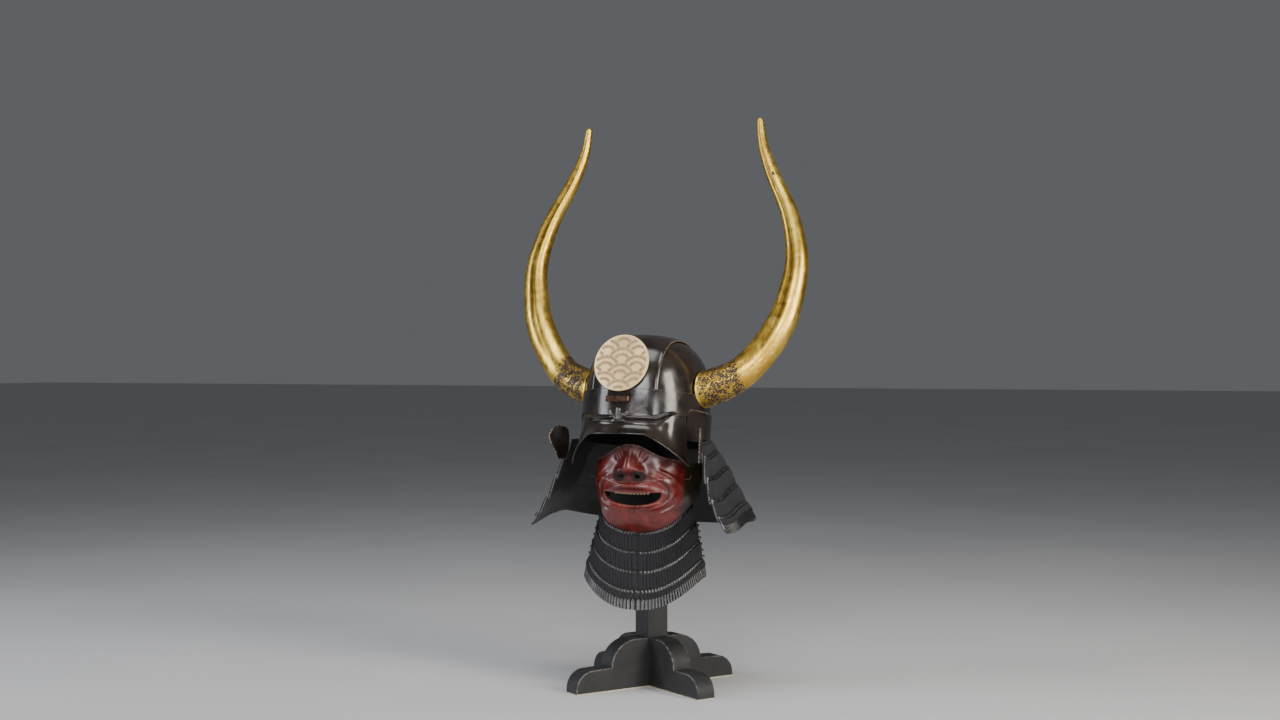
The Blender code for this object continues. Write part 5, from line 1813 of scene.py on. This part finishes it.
@dataclass
class Stand:
    """The crossed stepped boards and what they carry."""

    builder: Builder
    board_width: float = 0.036
    bevel: float = 0.0012
    board_turn: float = math.radians(-32.5)
    foot_reach: float = 0.167
    foot_height: float = 0.040
    foot_round: float = 0.033
    step_height: float = 0.087
    step_flat: float = 0.045
    step_run: float = 0.050
    step_round: float = 0.046
    strip_height: float = 0.0018
    strip_inset: float = 0.0006
    cut_over: float = 0.010

    def outline(self) -> list[tuple[float, float]]:
        """A board's stepped outline, from its right end over its middle to the left."""
        half = [(self.foot_reach, self.strip_height)]
        corners = (
            (self.foot_reach - self.foot_round, self.foot_round, self.foot_height, self.foot_round),
            (self.step_flat, self.step_run, self.step_height, self.step_round),
        )
        for inner, wide, top, tall in corners:
            for step in range(19):
                turn = math.pi / 2.0 * step / 18
                half.append((inner + wide * math.cos(turn), top - tall + tall * math.sin(turn)))
        return half + [(-x, z) for x, z in reversed(half)]

    def board(self, name: str, turn: float, notch: tuple[float, float]) -> None:
        """One board with its notch, which spans two heights."""
        spin = Matrix.Rotation(turn, 4, "Z")
        place = spin @ Matrix.Translation((0.0, -self.board_width / 2.0, 0.0))
        bm = extrude_outline(self.outline(), self.board_width)
        round_rims(bm, self.board_width, self.bevel)
        board = self.builder.add(f"{name}_painted", bm, "stand", "black_stand_wood", (name,), 30.0, place)
        cutter = bmesh.new()
        size = (self.board_width + GAP * 2.0, self.board_width * 2.0, notch[1] - notch[0])
        middle = Matrix.Translation((0.0, 0.0, (notch[0] + notch[1]) / 2.0))
        bmesh.ops.create_cube(cutter, size=1.0, matrix=spin @ middle @ Matrix.Diagonal((*size, 1.0)))
        self.builder.cut(board, [cutter], 30.0)

    def foot_strips(self) -> None:
        """The thin bare strip that shows along the boards' lower edge."""
        reach = self.foot_reach - self.strip_inset
        half = self.board_width / 2.0 - self.strip_inset
        outline = [(half, half), (half, reach), (-half, reach), (-half, half), (-reach, half), (-reach, -half),
                   (-half, -half), (-half, -reach), (half, -reach), (half, -half), (reach, -half), (reach, half)]
        bm = extrude_outline(outline, self.strip_height - 0.0001)
        lying = Matrix.Rotation(self.board_turn, 4, "Z") @ Matrix.Rotation(math.pi / 2.0, 4, "X")
        self.builder.add("stand_foot_strip", bm, "wood", "black_stand_wood", place=lying)

    def build(self) -> None:
        """Makes the boards and paints the plain pieces."""
        middle = self.step_height / 2.0
        self.board("stand_board_a", self.board_turn, (middle - GAP / 2.0, self.step_height + self.cut_over))
        self.board("stand_board_b", self.board_turn + math.pi / 2.0, (-self.cut_over, middle + GAP / 2.0))
        self.foot_strips()
        for node in ("stand_post", "mask_arm", "stand_head_pad"):
            self.builder.keep(node, "stand")


# Stage, light and camera

@dataclass(frozen=True)
class Lamp:
    """One soft box: its name, where it stands, its width and height, its power and its colour."""

    name: str
    spot: tuple[float, float, float]
    size: tuple[float, float]
    watts: float
    tint: str = "#ffffff"


@dataclass
class Studio:
    """A pale floor, soft light and the photograph's camera."""

    distance: float = 2.950
    height: float = 0.579
    turn: float = math.radians(24.0)
    aside: float = -0.0206
    lens_mm: float = 46.4
    sensor_mm: float = 36.0
    floor_half: float = 30.0
    room: str = "#b9bcc1"
    room_light: float = 0.24
    aim: tuple[float, float, float] = (0.0, -0.05, 0.48)
    lamps: tuple[Lamp, ...] = (
        Lamp("key_box", (2.3, -0.75, 1.15), (0.7, 1.7), 56.0, "#fff6ea"),
        Lamp("front_box", (0.9, -2.6, 1.7), (1.1, 0.9), 36.0),
        Lamp("low_front_box", (0.10, -2.75, 0.62), (0.35, 0.8), 11.0),
        Lamp("low_side_box", (1.95, -1.95, 0.66), (0.40, 0.8), 13.0),
        Lamp("left_box", (-2.3, -1.5, 1.2), (0.9, 1.7), 34.0, "#f5f7ff"),
        Lamp("top_box", (0.2, -0.7, 2.5), (1.5, 1.0), 26.0),
    )

    def floor(self, paint: bpy.types.Material) -> None:
        """A wide pale floor."""
        bm = bmesh.new()
        bmesh.ops.create_grid(bm, x_segments=1, y_segments=1, size=self.floor_half)
        mesh = bpy.data.meshes.new("floor")
        bm.to_mesh(mesh)
        bm.free()
        mesh.materials.append(paint)
        floor = bpy.data.objects.new("floor", mesh)
        bpy.context.scene.collection.objects.link(floor)
        floor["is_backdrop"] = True

    def light(self) -> None:
        """Soft boxes round the helmet, in a dim grey room."""
        world = bpy.data.worlds.new("room")
        world.use_nodes = True
        background = world.node_tree.nodes["Background"]
        background.inputs["Color"].default_value = linear(self.room)
        background.inputs["Strength"].default_value = self.room_light
        bpy.context.scene.world = world
        for lamp in self.lamps:
            light = bpy.data.lights.new(lamp.name, "AREA")
            light.shape = "RECTANGLE"
            light.size, light.size_y = lamp.size
            light.energy = lamp.watts
            light.color = linear(lamp.tint)[:3]
            box = bpy.data.objects.new(lamp.name, light)
            box.location = lamp.spot
            box.rotation_euler = (Vector(self.aim) - Vector(lamp.spot)).to_track_quat("-Z", "Y").to_euler()
            bpy.context.scene.collection.objects.link(box)

    def camera(self) -> None:
        """The level camera, as the photograph was taken."""
        data = bpy.data.cameras.new("camera")
        data.sensor_width = self.sensor_mm
        data.sensor_fit = "HORIZONTAL"
        data.lens = self.lens_mm
        camera = bpy.data.objects.new("camera", data)
        outward = Vector((math.sin(self.turn), -math.cos(self.turn), 0.0))
        right = Vector((math.cos(self.turn), math.sin(self.turn), 0.0))
        camera.location = outward * self.distance + right * self.aside + Vector((0.0, 0.0, self.height))
        camera.rotation_euler = (math.pi / 2.0, 0.0, self.turn)
        bpy.context.scene.collection.objects.link(camera)
        bpy.context.scene.camera = camera


def main() -> None:
    """Builds the pieces, the stage and the camera."""
    studio = Studio()
    studio.camera()
    paints = {key: paint.material() for key, paint in PAINTS.items()}
    builder = Builder(paints)
    form = BowlForm()
    BowlAndPlates(builder, form).build()
    for side in Side:
        Horn(builder, form, side).build()
    Crest(builder, form).build()
    NeckGuard(builder, form=form).build()
    mask = FaceMask(builder)
    mask.build()
    ThroatGuard(builder, mask=mask).build()
    Stand(builder).build()
    studio.floor(paints["floor"])
    studio.light()
    bpy.context.view_layer.update()
    boxes = [[list(corner) for corner in box] for box in (CAD_BOX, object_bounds())]


if __name__ == "__main__":
    main()
